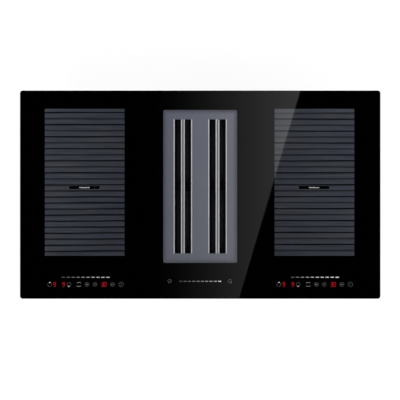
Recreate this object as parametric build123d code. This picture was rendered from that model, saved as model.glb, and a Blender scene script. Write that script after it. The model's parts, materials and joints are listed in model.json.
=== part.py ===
from build123d import *
import math
import os

# Induction cooktop with a built-in downdraft extractor, modelled piece by piece in millimetres.
# The origin is the middle of the worktop cut-out, on the worktop's top surface. X runs to the right,
# Y to the rear and Z up. The glass lies above the worktop, and everything else hangs below it.

OUT = "parts"
CUT = 1.0  # how far a cutting tool reaches past the face it cuts
TOUCH = 0.3  # gap between a loose or moving piece and what it stands on

# ---- Glass plate and worktop cut-out ----
glass_width = 900.0
glass_depth = 520.0
glass_thickness = 4.0
glass_corner = 7.0
glass_bevel = 0.6
overlap_sides = 12.0  # worktop under the glass, left and right
overlap_front = 15.0  # worktop under the glass, front and rear
seal_thickness = 2.0
seal_width = 7.0
seal_inset = 2.0

cutout_width = glass_width - 2 * overlap_sides
cutout_depth = glass_depth - 2 * overlap_front
glass_bottom = seal_thickness
glass_top = glass_bottom + glass_thickness

# ---- Air intake grille ----
intake_y = 20.5  # the grille sits a little behind the middle of the glass
grille_width = 185.0
grille_depth = 382.0
grille_thickness = 5.5
grille_corner = 5.0
grille_edge_round = 4.0
grille_rim = 1.0  # upright part of the edge, below its round
grille_lip = 7.0  # how far the grille overlaps the glass all round
skirt_wall = 2.0
skirt_depth = 12.0
skirt_gap = 1.2
skirt_corner = 4.0
pad_thickness = 0.8
pad_size = (4.5, 22.0)
pad_inset = 40.0  # from the grille's end to the outer pads
slot_margin = 24.0  # from a slot's end to the grille's end
slot_gap = 15.4  # open width of one slot
slot_bar = 4.4  # bar between the two slots of a pair
pair_offset = 43.2  # from the middle of the grille to the middle of a pair
trim_width = 2.65
trim_height = 9.0
trim_proud = 0.5
trim_round = 0.9

slot_length = grille_depth - 2 * slot_margin
opening_width = grille_width - 2 * grille_lip
opening_depth = grille_depth - 2 * grille_lip
opening_corner = 6.0
grille_bottom = glass_top + pad_thickness
grille_top = grille_bottom + grille_thickness
slot_cut = slot_gap + 2 * trim_width
slot_centres = [
    side * pair_offset + half * (slot_cut + slot_bar) / 2 for side in (-1, 1) for half in (-1, 1)
]

# ---- Cooking zones, as printed on the glass ----
zone_width = 201.0
zone_depth = 367.0
zone_side_margin = 62.5  # from the glass's side to the zone
zone_rear_margin = 45.7  # from the glass's rear edge to the zone
zone_x = glass_width / 2 - zone_side_margin - zone_width / 2
zone_y = glass_depth / 2 - zone_rear_margin - zone_depth / 2
SIDES = {"left": -1, "right": 1}

# ---- Carrier frame bonded under the glass, and the base pan ----
cutout_gap = 3.0  # between the carrier frame and the cut-out's walls
frame_sheet = 1.2
frame_lip = 9.0
frame_leg = 16.0
pan_fit = 0.4
pan_sheet = 1.0
pan_height = 52.0
pan_drop = 2.5  # from the glass's underside to the pan's rim
pan_corner = 4.0
rim_height = 8.0  # upturned edge round the pan's middle opening
vent_width = 4.0
fan_vent_pitch = 8.0
wall_vent_height = 22.0
wall_vent_pitch = 9.0
wall_vent_count = 14
bead_depth = 1.5
bead_size = (150.0, 12.0)
bead_pitch = 34.0
bead_count = 4

frame_width = cutout_width - 2 * cutout_gap
frame_depth = cutout_depth - 2 * cutout_gap
pan_width = frame_width - 2 * (frame_sheet + pan_fit)
pan_depth = frame_depth - 2 * (frame_sheet + pan_fit)
pan_top = glass_bottom - pan_drop
pan_bottom = pan_top - pan_height
pan_floor = pan_bottom + pan_sheet

# ---- Air throat and plenum ----
throat_gap = 0.5  # between the throat's upstand and the glass's edge
throat_wall = 2.0
throat_recess = 0.6  # the upstand stays this far below the glass's top
intake_seal = 2.5
foam_margin = 3.0  # foam ring to the throat's wall
intake_plate = 2.5
filter_shelf = 6.0
filter_shelf_thickness = 2.0
filter_shelf_z = -38.0
plenum_margin = 23.0  # plenum wall outside the throat, all round
plenum_rear_margin = 14.5
plenum_wall = 2.5
plenum_corner = 12.0
plenum_drop = 109.0
plenum_flange = 13.0
plenum_gap = 1.5
gusset_thickness = 1.6
gusset_height = 10.0
gusset_offset = 9.0  # from a flange screw to the ribs beside it

throat_outer = (opening_width - 2 * throat_gap, opening_depth - 2 * throat_gap)
throat_inner = (throat_outer[0] - 2 * throat_wall, throat_outer[1] - 2 * throat_wall)
shelf_inner = (throat_inner[0] - 2 * filter_shelf, throat_inner[1] - 2 * filter_shelf)
intake_top = glass_bottom - intake_seal
plenum_top = intake_top - intake_plate
plenum_bottom = plenum_top - plenum_drop
plenum_floor = plenum_bottom + plenum_wall
plenum_width = throat_outer[0] + 2 * plenum_margin
plenum_depth = throat_outer[1] + 2 * plenum_rear_margin
cap_gap = 0.3  # the intake frame caps the plenum's rim
cap_wall = 2.0
cap_drop = 6.0
cap_width = plenum_width + 2 * (cap_gap + cap_wall)
cap_depth = plenum_depth + 2 * (cap_gap + cap_wall)
drain_x = 78.0
drain_y_from_front = 40.0
drain_radius = 7.0
drain_wall = 3.0
drain_length = 9.0
plug_fit = 0.25
plug_wall = 2.8
plug_skirt = 6.0
plug_spigot = 5.0
plug_rib = 1.6
plug_ribs = 18
drain_y = intake_y - plenum_depth / 2 + drain_y_from_front

# ---- Grease filter and drip tray ----
filter_clearance = 2.0
filter_height = 18.0
filter_sheet = 1.2
filter_lip = 10.0
filter_pleats = 11
filter_mesh_thickness = 3.0
filter_mesh_gap = 0.4
filter_corner = 2.0
filter_drains = 11
filter_drain_radius = 1.5
handle_width = 22.0
handle_thickness = 3.0
handle_rise = 10.0
handle_foot = 12.0
handle_slope = 10.0
tray_clearance = 5.0  # tray to the filter shelf's opening, so it lifts out
tray_wall = 1.5
tray_height = 28.0
tray_corner = 10.0
tray_front_clearance = 3.5
tray_rear_clearance = 8.0
tray_inlet_gap = 12.0  # from the well to the blower's inlet
roof_rise = 22.0
roof_sheet = 1.5
roof_inset = 1.0
roof_rim = 6.0
roof_leg_radius = 4.0
lug_size = (30.0, 2.5, 18.0)
lug_hole = (18.0, 8.0)

# ---- Blower ----
blower_x = -30.0
blower_y = 62.0
impeller_radius = 84.0
impeller_height = 72.0
impeller_blades = 40
blade_chord = 16.0
blade_thickness = 1.2
blade_sweep = 8.0  # degrees from a blade's root to its tip
blade_bow = 2.6
blade_inset = 0.5
wheel_rim_width = 6.0
wheel_rim_height = 3.0
hub_gap = 2.0  # between the hub and the rotor cup
hub_boss = 5.0
scroll_start = 21.0  # from the wheel to the spiral's first arc
scroll_growth = 22.0  # radius gained each quarter turn
tongue_angle = 60.0
scroll_wall = 2.5
cover_thickness = 3.0
inlet_radius = 65.0
inlet_lip = 5.5
inlet_wall = 2.0
inlet_rise = 8.0
inlet_reach = 4.0  # the bell mouth's reach below the cover
exit_width = 140.0
unit_depth = 206.0  # worktop surface to the lowest face
lug_radius = 6.0
lug_angles = ((115, 170), (225, 262), (310, 350))  # degrees, on each arc of the spiral
lug_recess = 4.0  # a lug's face above the housing's bottom
lug_fit = 0.1
motor_seat_rise = 4.0
motor_seat_radius = 42.0

scroll_bottom = -unit_depth
scroll_top = plenum_bottom - cover_thickness
scroll_floor = scroll_bottom + scroll_wall
motor_seat = scroll_floor + motor_seat_rise
impeller_top = scroll_top - inlet_reach - 2.0
impeller_bottom = impeller_top - impeller_height

# ---- Blower motor ----
bush_height = 5.0
bush_radius = 6.0
bush_circle = 28.0
bush_count = 3
bush_waist = 1.2
bush_rim = 1.6
motor_flange_radius = 36.0
motor_flange = 4.0
stator_radius = 34.0
stator_height = 20.0
stator_tube_radius = 10.0
bearing_radius = 8.0
bearing_width = 5.0
bearing_groove = 0.4
tube_rise = 8.0  # bearing tube above the stator
stator_poles = 12
pole_slot = (10.0, 6.0)
slot_mouth = 2.0
shaft_radius = 3.0
shaft_fit = 0.03  # radial, in the bearings
shaft_clearance = 1.2
shaft_lift = 0.5  # shaft's end above the tube's lower face
rotor_radius = 44.0
rotor_wall = 3.0
rotor_height = 32.0
rotor_gap = 2.0  # rotor cup above the motor's flange
rotor_bevel = 6.0
hub_wall = 2.0

# ---- Outlet ----
outlet_width = 222.0
outlet_height = 89.0
outlet_x = 40.0
outlet_wall = 2.0
outlet_spigot = 24.0
outlet_flange = 13.0
outlet_flange_thickness = 3.0
outlet_screw_inset = 14.0
flap_thickness = 1.2
flap_side_gap = 1.5
flap_barrel_radius = 2.8
flap_pin_radius = 1.5
flap_pin_fit = 0.05
flap_drop = 5.0  # pin axis below the spigot's ceiling
flap_inset = 9.0  # flap plane ahead of the spigot's end
flap_seat = 3.0
flap_seat_thickness = 2.0
flap_gap = 0.4  # between the closed flap and its seat
flap_rib = (1.2, 3.0)
flap_rib_inset = 6.0
outlet_end = cutout_depth / 2
outlet_flange_y = 187.0
outlet_z = scroll_bottom + outlet_wall + outlet_height / 2 + 0.5

# ---- Induction hardware ----
coil_gap = 8.0
coil_margin = 9.0
coil_thickness = 4.0
coil_core = (46.0, 40.0)
coil_turn = 5.0
coil_groove = 0.8
coil_corner = 24.0
coil_core_corner = 7.0
wire_share = 0.8  # part of a turn's width that its ridge takes
mica_thickness = 1.0
mica_margin = 2.0
ferrite_size = (8.0, 58.0, 5.0)
ferrites_per_coil = 8
ferrite_start = 24.0  # from the coil's middle
carrier_sheet = 2.0
carrier_margin = 5.0
carrier_lip = 6.0
carrier_corner = 4.0
lip_inset = 8.0  # the lips end this far from the plate's sides
lead_hole = (8.0, 14.0)
lead_spread = 20.0  # from the coil's middle to each of its two leads
sensor_radius = 7.0
sensor_hole = 10.0
sensor_foot = (30.0, 12.0, 2.0)
sensor_gap = 0.2
bracket_sheet = 1.2
bracket_width = 16.0
bracket_foot = 14.0
bracket_tab = 12.0
bracket_inset = 31.0
spring_height = 7.0
spring_sheet = 0.6
spring_inset = 1.0
spring_foot = 2.0
spring_crown = 3.0
board_thickness = 1.6
standoff = 6.0
post_radius = 3.2
power_board = (180.0, 190.0)
power_board_shift = 26.0  # behind the front coil's middle, towards the rear
fan_size = 92.0
fan_thickness = 25.0
fan_duct_radius = 42.0
fan_hub_radius = 18.0
fan_blades = 7
fan_pitch = 38.0  # degrees
fan_blade_thickness = 1.4
fan_tip_gap = 1.0
fan_corner = 6.0
fan_hole_radius = 2.2
fan_hole_inset = 5.0
fan_strut = (5.0, 3.0)
fan_pin_radius = 1.5
fan_pin_fit = 0.05
fan_pin_inset = 5.0  # pin's end below the frame's top
fan_pin_cap = 2.0
fan_front_margin = 84.0  # from the pan's front wall to the fan's middle
heat_sink = (64.0, 120.0, 24.0)
heat_sink_base = 5.0
heat_sink_shift = (34.0, 22.0)  # from the board's middle: inwards, and to the front
heat_sink_fins = 10
fin_thickness = 1.5

coil_width = zone_width - 2 * coil_margin
coil_depth = (zone_depth - 3 * coil_gap) / 2
coil_offset = (coil_depth + coil_gap) / 2
mica_bottom = glass_bottom - mica_thickness
coil_bottom = mica_bottom - coil_thickness
ferrite_bottom = coil_bottom - ferrite_size[2]
carrier_bottom = ferrite_bottom - carrier_sheet
board_bottom = pan_floor + standoff
board_top = board_bottom + board_thickness

# ---- Touch controls ----
key_margin = 35.5  # from the glass's front edge to the row of keys
slider_margin = 53.3  # and to the slider above it
touch_board = (196.0, 34.0)
light_guide = 6.0
key_radius = 4.2
panel_shift = 8.0  # the middle panel's keys lie further back, and its board is less deep
slider_dashes = 10
slider_pitch = 12.4
fan_slider_pitch = 10.8
dash_share = 0.76  # part of the pitch that a dash takes
dash_depth = 3.0
digit_gap = 0.2
spring_radius = 3.4
spring_wall = 0.6
key_offsets = (-90.0, -41.5, -16.5, 3.5, 23.0, 67.5, 88.5)
digit_offsets = (-77.0, -55.0, 42.4, 49.6)
digit_size = (7.0, 12.0)
fan_key_offsets = (-76.0, 75.0)
touch_y = -glass_depth / 2 + (key_margin + slider_margin) / 2

# ---- Mains connection ----
filter_board_size = (120.0, 56.0)
filter_board_shift = 25.0  # from the left zone's middle, inwards
filter_board_rear = 14.0
filter_screw_inset = 5.0
terminal_size = (50.0, 22.0, 18.0)
terminal_side = 35.4  # from the pan's left side to the block's middle
terminal_rear = 16.0
terminal_poles = 5
terminal_screw = (2.6, 5.0)  # radius and depth of the screw wells
terminal_wire = (2.2, 6.0, 8.0)  # wire holes: radius, depth and height above the floor
terminal_cover_wall = 1.5
terminal_cover_gap = 1.0
terminal_cover_reach = 8.0  # past the block, to the rear and upwards
gland_radius = 10.0
gland_bore = 7.0
gland_hole = 8.3  # radius of the part that passes through the pan's wall
gland_fit = 0.2
gland_flange = 1.6
gland_inside = 2.0  # reach past the wall's inner face
gland_rise = 24.0  # above the pan's floor

filter_board_x = filter_board_shift - zone_x
terminal_x = terminal_side - pan_width / 2
gland_z = pan_floor + gland_rise

# ---- Extractor's control box ----
box_size = (118.0, 80.0, 38.0)
box_sheet = 1.0
box_x = -36.0
box_gap = 13.0  # to the spiral's wall behind it
box_corner = 2.0
box_screw_inset = 6.0
box_post_radius = 4.0
box_vents = 6
box_vent = (4.0, 18.0)
box_vent_pitch = 12.0
control_board_size = (92.0, 72.0)
control_post = (80.0, 60.0)  # spacing of the board's posts
control_post_radius = 2.0
control_board_drop = 12.0  # board's underside below the plenum
board_corner = 2.0

# ---- Swivelling worktop clamps ----
clamp_side = 103.4  # from the pan's side to the pivot
clamp_inset = 14.0
clamp_length = 64.0
clamp_width = 18.0
clamp_sheet = 1.5
clamp_lip = 4.0
clamp_heel = 10.0  # from the pivot to the arm's near end
clamp_corner = 4.0
clamp_slot = (14.0, 5.0)
clamp_nut = (4.6, 4.0)  # radius over the corners, and height
clamp_screw_reach = 6.0  # above the pan's floor
clamp_screw_radius = 2.4
clamp_hole_radius = 2.5  # in the pan
clamp_fit = 0.08  # radial, between the pivot screw and the arm
clamp_head_radius = 4.5
clamp_head = 3.0

# ---- Screws ----
screw_radius = 1.8
screw_hole = 2.0
screw_head_radius = 3.6
screw_head = 2.0
driver_slot = (4.4, 0.8)
driver_depth = 0.8
side_screw_length = 7.0
lug_screw_length = 14.0
lid_screw_length = 9.0
board_screw_length = 6.0
frame_screw_z = glass_bottom - 11.0


# ================= helpers =================
def slab(width, depth, low, high, corner=0.0, x=0.0, y=0.0):
    """A flat plate between two heights, with rounded corners, centred on x, y."""
    outline = RectangleRounded(width, depth, corner) if corner else Rectangle(width, depth)
    return Pos(x, y, low) * extrude(outline, high - low)


def ring(width, depth, wall, low, high, corner=0.0, x=0.0, y=0.0):
    """A rectangular wall, open at the top and bottom. Width and depth are the outer sizes."""
    inner = slab(width - 2 * wall, depth - 2 * wall, low - CUT, high + CUT, max(corner - wall, 0.0), x, y)
    return slab(width, depth, low, high, corner, x, y) - inner


def block(x, y, z):
    """A box from its lowest and highest x, y and z, each given as a pair."""
    middle = Pos((x[0] + x[1]) / 2, (y[0] + y[1]) / 2, (z[0] + z[1]) / 2)
    return middle * Box(x[1] - x[0], y[1] - y[0], z[1] - z[0])


def span(middle, size):
    """Lowest and highest value of a stretch about its middle."""
    return middle - size / 2, middle + size / 2


def bar(x, y, z, size):
    """A box with its middle at x, y and its two heights in z. Size is its width and depth."""
    return block(span(x, size[0]), span(y, size[1]), z)


def folded_sheet(path, thickness, width):
    """A strip bent along (x, z) points, centred on Y = 0. Its thickness is measured upright."""
    upper = [(x, z + thickness) for x, z in reversed(path)]
    face = make_face(Polyline(*[(x, 0, z) for x, z in path + upper], close=True))
    return extrude(face, width / 2, both=True)


def side_plate(points, thickness):
    """A plate across X from its (y, z) corners, centred on X = 0."""
    face = make_face(Polyline(*[(0, y, z) for y, z in points], close=True))
    return extrude(face, thickness / 2, both=True)


def rod(radius, low, high, x=0.0, y=0.0):
    """An upright cylinder."""
    return Pos(x, y, (low + high) / 2) * Cylinder(radius, high - low)


def tube(outer, inner, low, high, x=0.0, y=0.0):
    """An upright cylinder with a bore."""
    return rod(outer, low, high, x, y) - rod(inner, low - CUT, high + CUT, x, y)


def rod_y(radius, start, end, x, z):
    """A cylinder along Y."""
    return Pos(x, (start + end) / 2, z) * Rot(90, 0, 0) * Cylinder(radius, end - start)


def rod_x(radius, start, end, y, z):
    """A cylinder along X."""
    return Pos((start + end) / 2, y, z) * Rot(0, 90, 0) * Cylinder(radius, end - start)


def holes(points, radius, low, high):
    """Upright drills at a list of points."""
    return [rod(radius, low - CUT, high + CUT, x, y) for x, y in points]


def corners(width, depth, x=0.0, y=0.0):
    """The four corners of a rectangle."""
    return [(x + i * width / 2, y + j * depth / 2) for i in (-1, 1) for j in (-1, 1)]


def turned(profile):
    """A solid turned about Z from (radius, height) points."""
    face = make_face(Polyline(*[(r, 0, z) for r, z in profile], close=True))
    return revolve(face, Axis.Z)


def save(name, *pieces):
    """Writes one node: one solid, or several separate ones that share a name."""
    solids = [solid for piece in pieces for solid in piece.solids()]
    shape = solids[0] if len(solids) == 1 else Compound(children=solids)
    export_step(shape, os.path.join(OUT, name + ".step"))


# ================= glass and its frame =================
def glass_plate():
    """Black glass-ceramic plate with ground edges and the opening for the air intake."""
    plate = slab(glass_width, glass_depth, glass_bottom, glass_top, glass_corner)
    plate -= slab(
        opening_width, opening_depth, glass_bottom - CUT, glass_top + CUT, opening_corner, 0, intake_y
    )
    rims = plate.edges().filter_by_position(Axis.Z, glass_top - 0.01, glass_top + 0.01)
    return chamfer(rims, glass_bevel)


def worktop_seal():
    """Foam tape that the glass rests on, just inside its edge."""
    width = glass_width - 2 * seal_inset
    depth = glass_depth - 2 * seal_inset
    return ring(width, depth, seal_width, 0, seal_thickness, glass_corner - seal_inset)


def frame_screw_points():
    """Where side screws join the carrier frame and the base pan: (x, y, direction)."""
    half_x, half_y = frame_width / 2, frame_depth / 2
    along_x = [(x * frame_width, y * half_y, (0, y)) for y in (-1, 1) for x in (-0.4, -0.15, 0.15, 0.4)]
    along_y = [(x * half_x, y * frame_depth, (x, 0)) for x in (-1, 1) for y in (-0.3, 0.3)]
    return along_x + along_y


def side_drill(point, radius, depth):
    """A drill that enters the frame's side at a screw point."""
    x, y, (dx, dy) = point
    if dy:
        start, end = sorted((y + dy * CUT, y - dy * depth))
        return rod_y(radius, start, end, x, frame_screw_z)
    start, end = sorted((x + dx * CUT, x - dx * depth))
    return rod_x(radius, start, end, y, frame_screw_z)


def carrier_frame():
    """Pressed steel angle bonded under the glass. The base pan screws to its leg."""
    lip = ring(frame_width, frame_depth, frame_lip, glass_bottom - frame_sheet, glass_bottom, pan_corner)
    leg = ring(frame_width, frame_depth, frame_sheet, glass_bottom - frame_leg, glass_bottom, pan_corner)
    frame = lip + leg
    return frame - [side_drill(p, screw_hole, 3 * frame_sheet) for p in frame_screw_points()]


# ================= base pan =================
def pan_opening(gap, low, high):
    """The pan's middle opening, which the plenum passes through."""
    grow = 2 * (plenum_gap + gap)
    return slab(plenum_width + grow, plenum_depth + grow, low, high, plenum_corner + gap, 0, intake_y)


def plenum_screw_points():
    """Screws through the plenum's flange into the pan's floor."""
    x = plenum_width / 2 + plenum_flange / 2 + 1
    y = plenum_depth / 2 + plenum_flange / 2 + 1
    side = [(i * x, intake_y + j * plenum_depth / 2.6) for i in (-1, 1) for j in (-1, 0, 1)]
    ends = [(i * plenum_width / 4, intake_y + j * y) for i in (-1, 1) for j in (-1, 1)]
    return side + ends


def fan_centre(side):
    """Middle of a cooling fan, over its vent in the pan's floor."""
    return side * zone_x, -pan_depth / 2 + fan_front_margin


def board_centre(side):
    """Middle of a power board."""
    return side * zone_x, zone_y + power_board_shift


def board_screw_points(side):
    """Corners of a power board, where it stands on posts."""
    x, y = board_centre(side)
    return corners(power_board[0] - 12, power_board[1] - 12, x, y)


def clamp_points():
    """Pivots of the four clamps, by name."""
    x, y = pan_width / 2 - clamp_side, pan_depth / 2 - clamp_inset
    return {"front_left": (-x, -y), "front_right": (x, -y), "rear_left": (-x, y), "rear_right": (x, y)}


def fan_vent(side):
    """Slots in the pan's floor below a cooling fan."""
    x, y = fan_centre(side)
    slots = Sketch()
    rows = int(fan_duct_radius / fan_vent_pitch)
    for shift in [row * fan_vent_pitch for row in range(1 - rows, rows)]:
        half = math.sqrt(fan_duct_radius**2 - shift**2)
        slots += Pos(x, y + shift) * SlotOverall(2 * half, vent_width)
    return Pos(0, 0, pan_bottom - CUT) * extrude(slots, pan_sheet + 2 * CUT)


def wall_vents():
    """Exhaust slots in the pan's rear wall and side walls."""
    z = (pan_floor + pan_top - frame_leg) / 2
    reach = pan_sheet + 2 * CUT
    upright = extrude(SlotOverall(wall_vent_height, vent_width, rotation=90), reach, both=True)
    lying = extrude(SlotOverall(wall_vent_height, vent_width), reach, both=True)
    tools = []
    for side in SIDES.values():
        for shift in [(i - (wall_vent_count - 1) / 2) * wall_vent_pitch for i in range(wall_vent_count)]:
            tools.append(Pos(side * zone_x + shift, pan_depth / 2, z) * Rot(90, 0, 0) * upright)
            tools.append(Pos(side * pan_width / 2, shift, z) * Rot(0, 90, 0) * lying)
    return tools


def beads(inset, low, high):
    """Outline of the stiffening beads in the pan's floor, between two heights."""
    rows = Sketch()
    for side in SIDES.values():
        for i in range(bead_count):
            y = zone_y + (i - 0.5) * bead_pitch
            rows += Pos(side * zone_x, y) * SlotOverall(bead_size[0] - 2 * inset, bead_size[1] - 2 * inset)
    return Pos(0, 0, low) * extrude(rows, high - low)


def base_pan():
    """Galvanised sheet-steel pan that closes the electronics from below."""
    pan = slab(pan_width, pan_depth, pan_bottom, pan_top, pan_corner)
    width, depth = pan_width - 2 * pan_sheet, pan_depth - 2 * pan_sheet
    pan -= slab(width, depth, pan_floor, pan_top + CUT, pan_corner - pan_sheet)
    pan += pan_opening(pan_sheet, pan_bottom, pan_bottom + rim_height)
    pan += beads(0, pan_bottom - bead_depth, pan_floor)
    pan -= beads(pan_sheet, pan_floor - bead_depth, pan_floor + CUT)
    pan -= pan_opening(0, pan_bottom - CUT, pan_bottom + rim_height + CUT)
    drills = [side_drill(p, screw_hole, 6 * frame_sheet) for p in frame_screw_points()]
    drills += holes(plenum_screw_points(), screw_hole, pan_bottom, pan_floor)
    drills += holes(clamp_points().values(), clamp_hole_radius, pan_bottom, pan_floor)
    drills += [fan_vent(side) for side in SIDES.values()]
    drills += wall_vents()
    gland_reach = span(pan_depth / 2, 2 * (pan_sheet + CUT))
    drills.append(rod_y(gland_hole + gland_fit, *gland_reach, terminal_x, gland_z))
    posts = [point for side in SIDES.values() for point in board_screw_points(side)] + filter_board_points()
    post_z = (pan_floor, board_bottom)
    return pan - drills + [tube(post_radius, screw_radius + lug_fit, *post_z, x, y) for x, y in posts]


# ================= air throat and plenum =================
def intake_foam():
    """Foam ring that seals the intake frame to the glass."""
    outer = slab(plenum_width, plenum_depth, intake_top, glass_bottom, plenum_corner, 0, intake_y)
    width, depth = [size + 2 * foam_margin for size in throat_outer]
    return outer - slab(width, depth, intake_top - CUT, glass_bottom + CUT, opening_corner, 0, intake_y)


def intake_frame():
    """Moulded frame: it lines the glass opening, caps the plenum and carries the filter on a shelf."""
    plate = slab(cap_width, cap_depth, plenum_top, intake_top, plenum_corner, 0, intake_y)
    rim = ring(cap_width, cap_depth, cap_wall, plenum_top - cap_drop, intake_top, plenum_corner, 0, intake_y)
    top, shelf_bottom = glass_top - throat_recess, filter_shelf_z - filter_shelf_thickness
    corner = opening_corner - throat_gap
    lining = slab(*throat_outer, shelf_bottom, top, corner, 0, intake_y)
    frame = plate + rim + lining
    frame -= slab(*throat_inner, filter_shelf_z, top + CUT, corner - throat_wall, 0, intake_y)
    return frame - slab(*shelf_inner, shelf_bottom - CUT, top, corner - throat_wall, 0, intake_y)


def plenum_box():
    """Moulded air chamber below the throat, screwed to the base pan by its flange."""
    box = slab(plenum_width, plenum_depth, plenum_bottom, plenum_top, plenum_corner, 0, intake_y)
    flange_width = plenum_width + 2 * plenum_flange
    flange_depth = plenum_depth + 2 * plenum_flange
    low = pan_bottom - plenum_wall
    box += slab(flange_width, flange_depth, low, pan_bottom, plenum_corner, 0, intake_y)
    for x, y in plenum_screw_points():
        if abs(x) > plenum_width / 2:
            middle = math.copysign((plenum_width + plenum_flange) / 2, x)
            for shift in (-gusset_offset, gusset_offset):
                box += bar(middle, y + shift, (low - gusset_height, low), (plenum_flange, gusset_thickness))
    box -= slab(
        plenum_width - 2 * plenum_wall,
        plenum_depth - 2 * plenum_wall,
        plenum_floor,
        plenum_top + CUT,
        plenum_corner - plenum_wall,
        0,
        intake_y,
    )
    box += rod(drain_radius + drain_wall, plenum_bottom - drain_length, plenum_bottom, drain_x, drain_y)
    box -= rod(drain_radius, plenum_bottom - drain_length - CUT, plenum_floor + CUT, drain_x, drain_y)
    box -= rod(inlet_radius + inlet_lip + 1.0, plenum_bottom - CUT, plenum_floor + CUT, blower_x, blower_y)
    return box - holes(plenum_screw_points(), screw_hole, low, pan_bottom)


def drain_plug():
    """Screw cap on the plenum's drain, with gripping ribs and a spigot in the drain's bore."""
    low = plenum_bottom - drain_length
    neck = drain_radius + drain_wall + plug_fit
    bottom, top = low - plug_wall, low + plug_skirt
    cap = rod(neck + plug_wall, bottom, top) - rod(neck, low, top + CUT)
    cap += rod(drain_radius - plug_fit, bottom, low + plug_spigot)
    rib = Pos(neck + plug_wall, 0, (bottom + top) / 2) * Box(plug_rib, plug_rib, top - bottom)
    ribs = [Rot(0, 0, i * 360 / plug_ribs) * rib for i in range(plug_ribs)]
    return Pos(drain_x, drain_y, 0) * (cap + ribs)


# ================= grille =================
def grille_plate():
    """Matt cover plate with soft edges, two pairs of long slots and a locating skirt below."""
    plate = slab(grille_width, grille_depth, grille_bottom, grille_top, grille_corner, 0, intake_y)
    rims = plate.edges().filter_by_position(Axis.Z, grille_top - 0.01, grille_top + 0.01)
    plate = fillet(rims, min(grille_edge_round, grille_thickness - grille_rim))
    width, depth = [size - 2 * skirt_gap for size in throat_inner]
    low = grille_bottom - skirt_depth
    plate += ring(width, depth, skirt_wall, low, grille_bottom, skirt_corner, 0, intake_y)
    for x in slot_centres:
        plate -= slab(slot_cut, slot_length, grille_bottom - CUT, grille_top + CUT, 0, x, intake_y)
    return plate


def grille_trims():
    """Bright strips that line the long sides of every slot."""
    low = grille_top + trim_proud - trim_height
    strips = []
    for x in slot_centres:
        for side in (-1, 1):
            middle = x + side * (slot_gap + trim_width) / 2
            strip = slab(trim_width, slot_length, low, grille_top + trim_proud, 0, middle, intake_y)
            top = strip.edges().filter_by(Axis.Y).group_by(Axis.Z)[-1]
            strips.append(fillet(top, trim_round))
    return strips


def grille_pads():
    """Silicone pads between the grille's lip and the glass."""
    x = grille_width / 2 - grille_lip / 2
    y = grille_depth / 2 - pad_inset
    places = [(i * x, intake_y + j * y) for i in (-1, 1) for j in (-1, 0, 1)]
    return [slab(*pad_size, glass_top, grille_bottom, pad_size[0] / 3, px, py) for px, py in places]


# ================= grease filter =================
def filter_size():
    """Outer width and depth of the filter cassette."""
    return throat_inner[0] - 2 * filter_clearance, throat_inner[1] - 2 * filter_clearance


def filter_levels():
    """Lowest and highest faces of the filter cassette."""
    low = filter_shelf_z + TOUCH
    return low, low + filter_height


def filter_frame():
    """Channel frame that holds the filter mesh, with a row of drain holes in its lower lip."""
    width, depth = filter_size()
    low, high = filter_levels()
    frame = slab(width, depth, low, high, filter_corner, 0, intake_y)
    inner_width, inner_depth = width - 2 * filter_sheet, depth - 2 * filter_sheet
    frame -= slab(inner_width, inner_depth, low + filter_sheet, high - filter_sheet, 0, 0, intake_y)
    opening_size = (width - 2 * filter_lip, depth - 2 * filter_lip)
    frame -= slab(*opening_size, low - CUT, high + CUT, filter_corner, 0, intake_y)
    pitch = depth / (filter_drains + 1)
    rows = [intake_y + (i - (filter_drains - 1) / 2) * pitch for i in range(filter_drains)]
    points = [(side * (width - filter_lip) / 2, y) for side in (-1, 1) for y in rows]
    return frame - holes(points, filter_drain_radius, low, low + filter_sheet)


def filter_mesh():
    """Pleated pack of expanded aluminium, as one folded sheet."""
    width, depth = filter_size()
    low, high = filter_levels()
    inset = filter_sheet + filter_mesh_gap
    bottom, top = low + inset, high - inset - filter_mesh_thickness
    steps = 2 * filter_pleats
    pitch = (width - 2 * inset) / steps
    path = [((i - filter_pleats) * pitch, top if i % 2 else bottom) for i in range(steps + 1)]
    return Pos(0, intake_y, 0) * folded_sheet(path, filter_mesh_thickness, depth - 2 * inset)


def filter_handle():
    """Bow handle across the middle of the filter, riveted to its long sides."""
    width, _ = filter_size()
    _, high = filter_levels()
    left = [(-width / 2, high), (handle_foot - width / 2, high)]
    left.append((handle_foot + handle_slope - width / 2, high + handle_rise))
    path = left + [(-x, z) for x, z in reversed(left)]
    return Pos(0, intake_y, 0) * folded_sheet(path, handle_thickness, handle_width)


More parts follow.
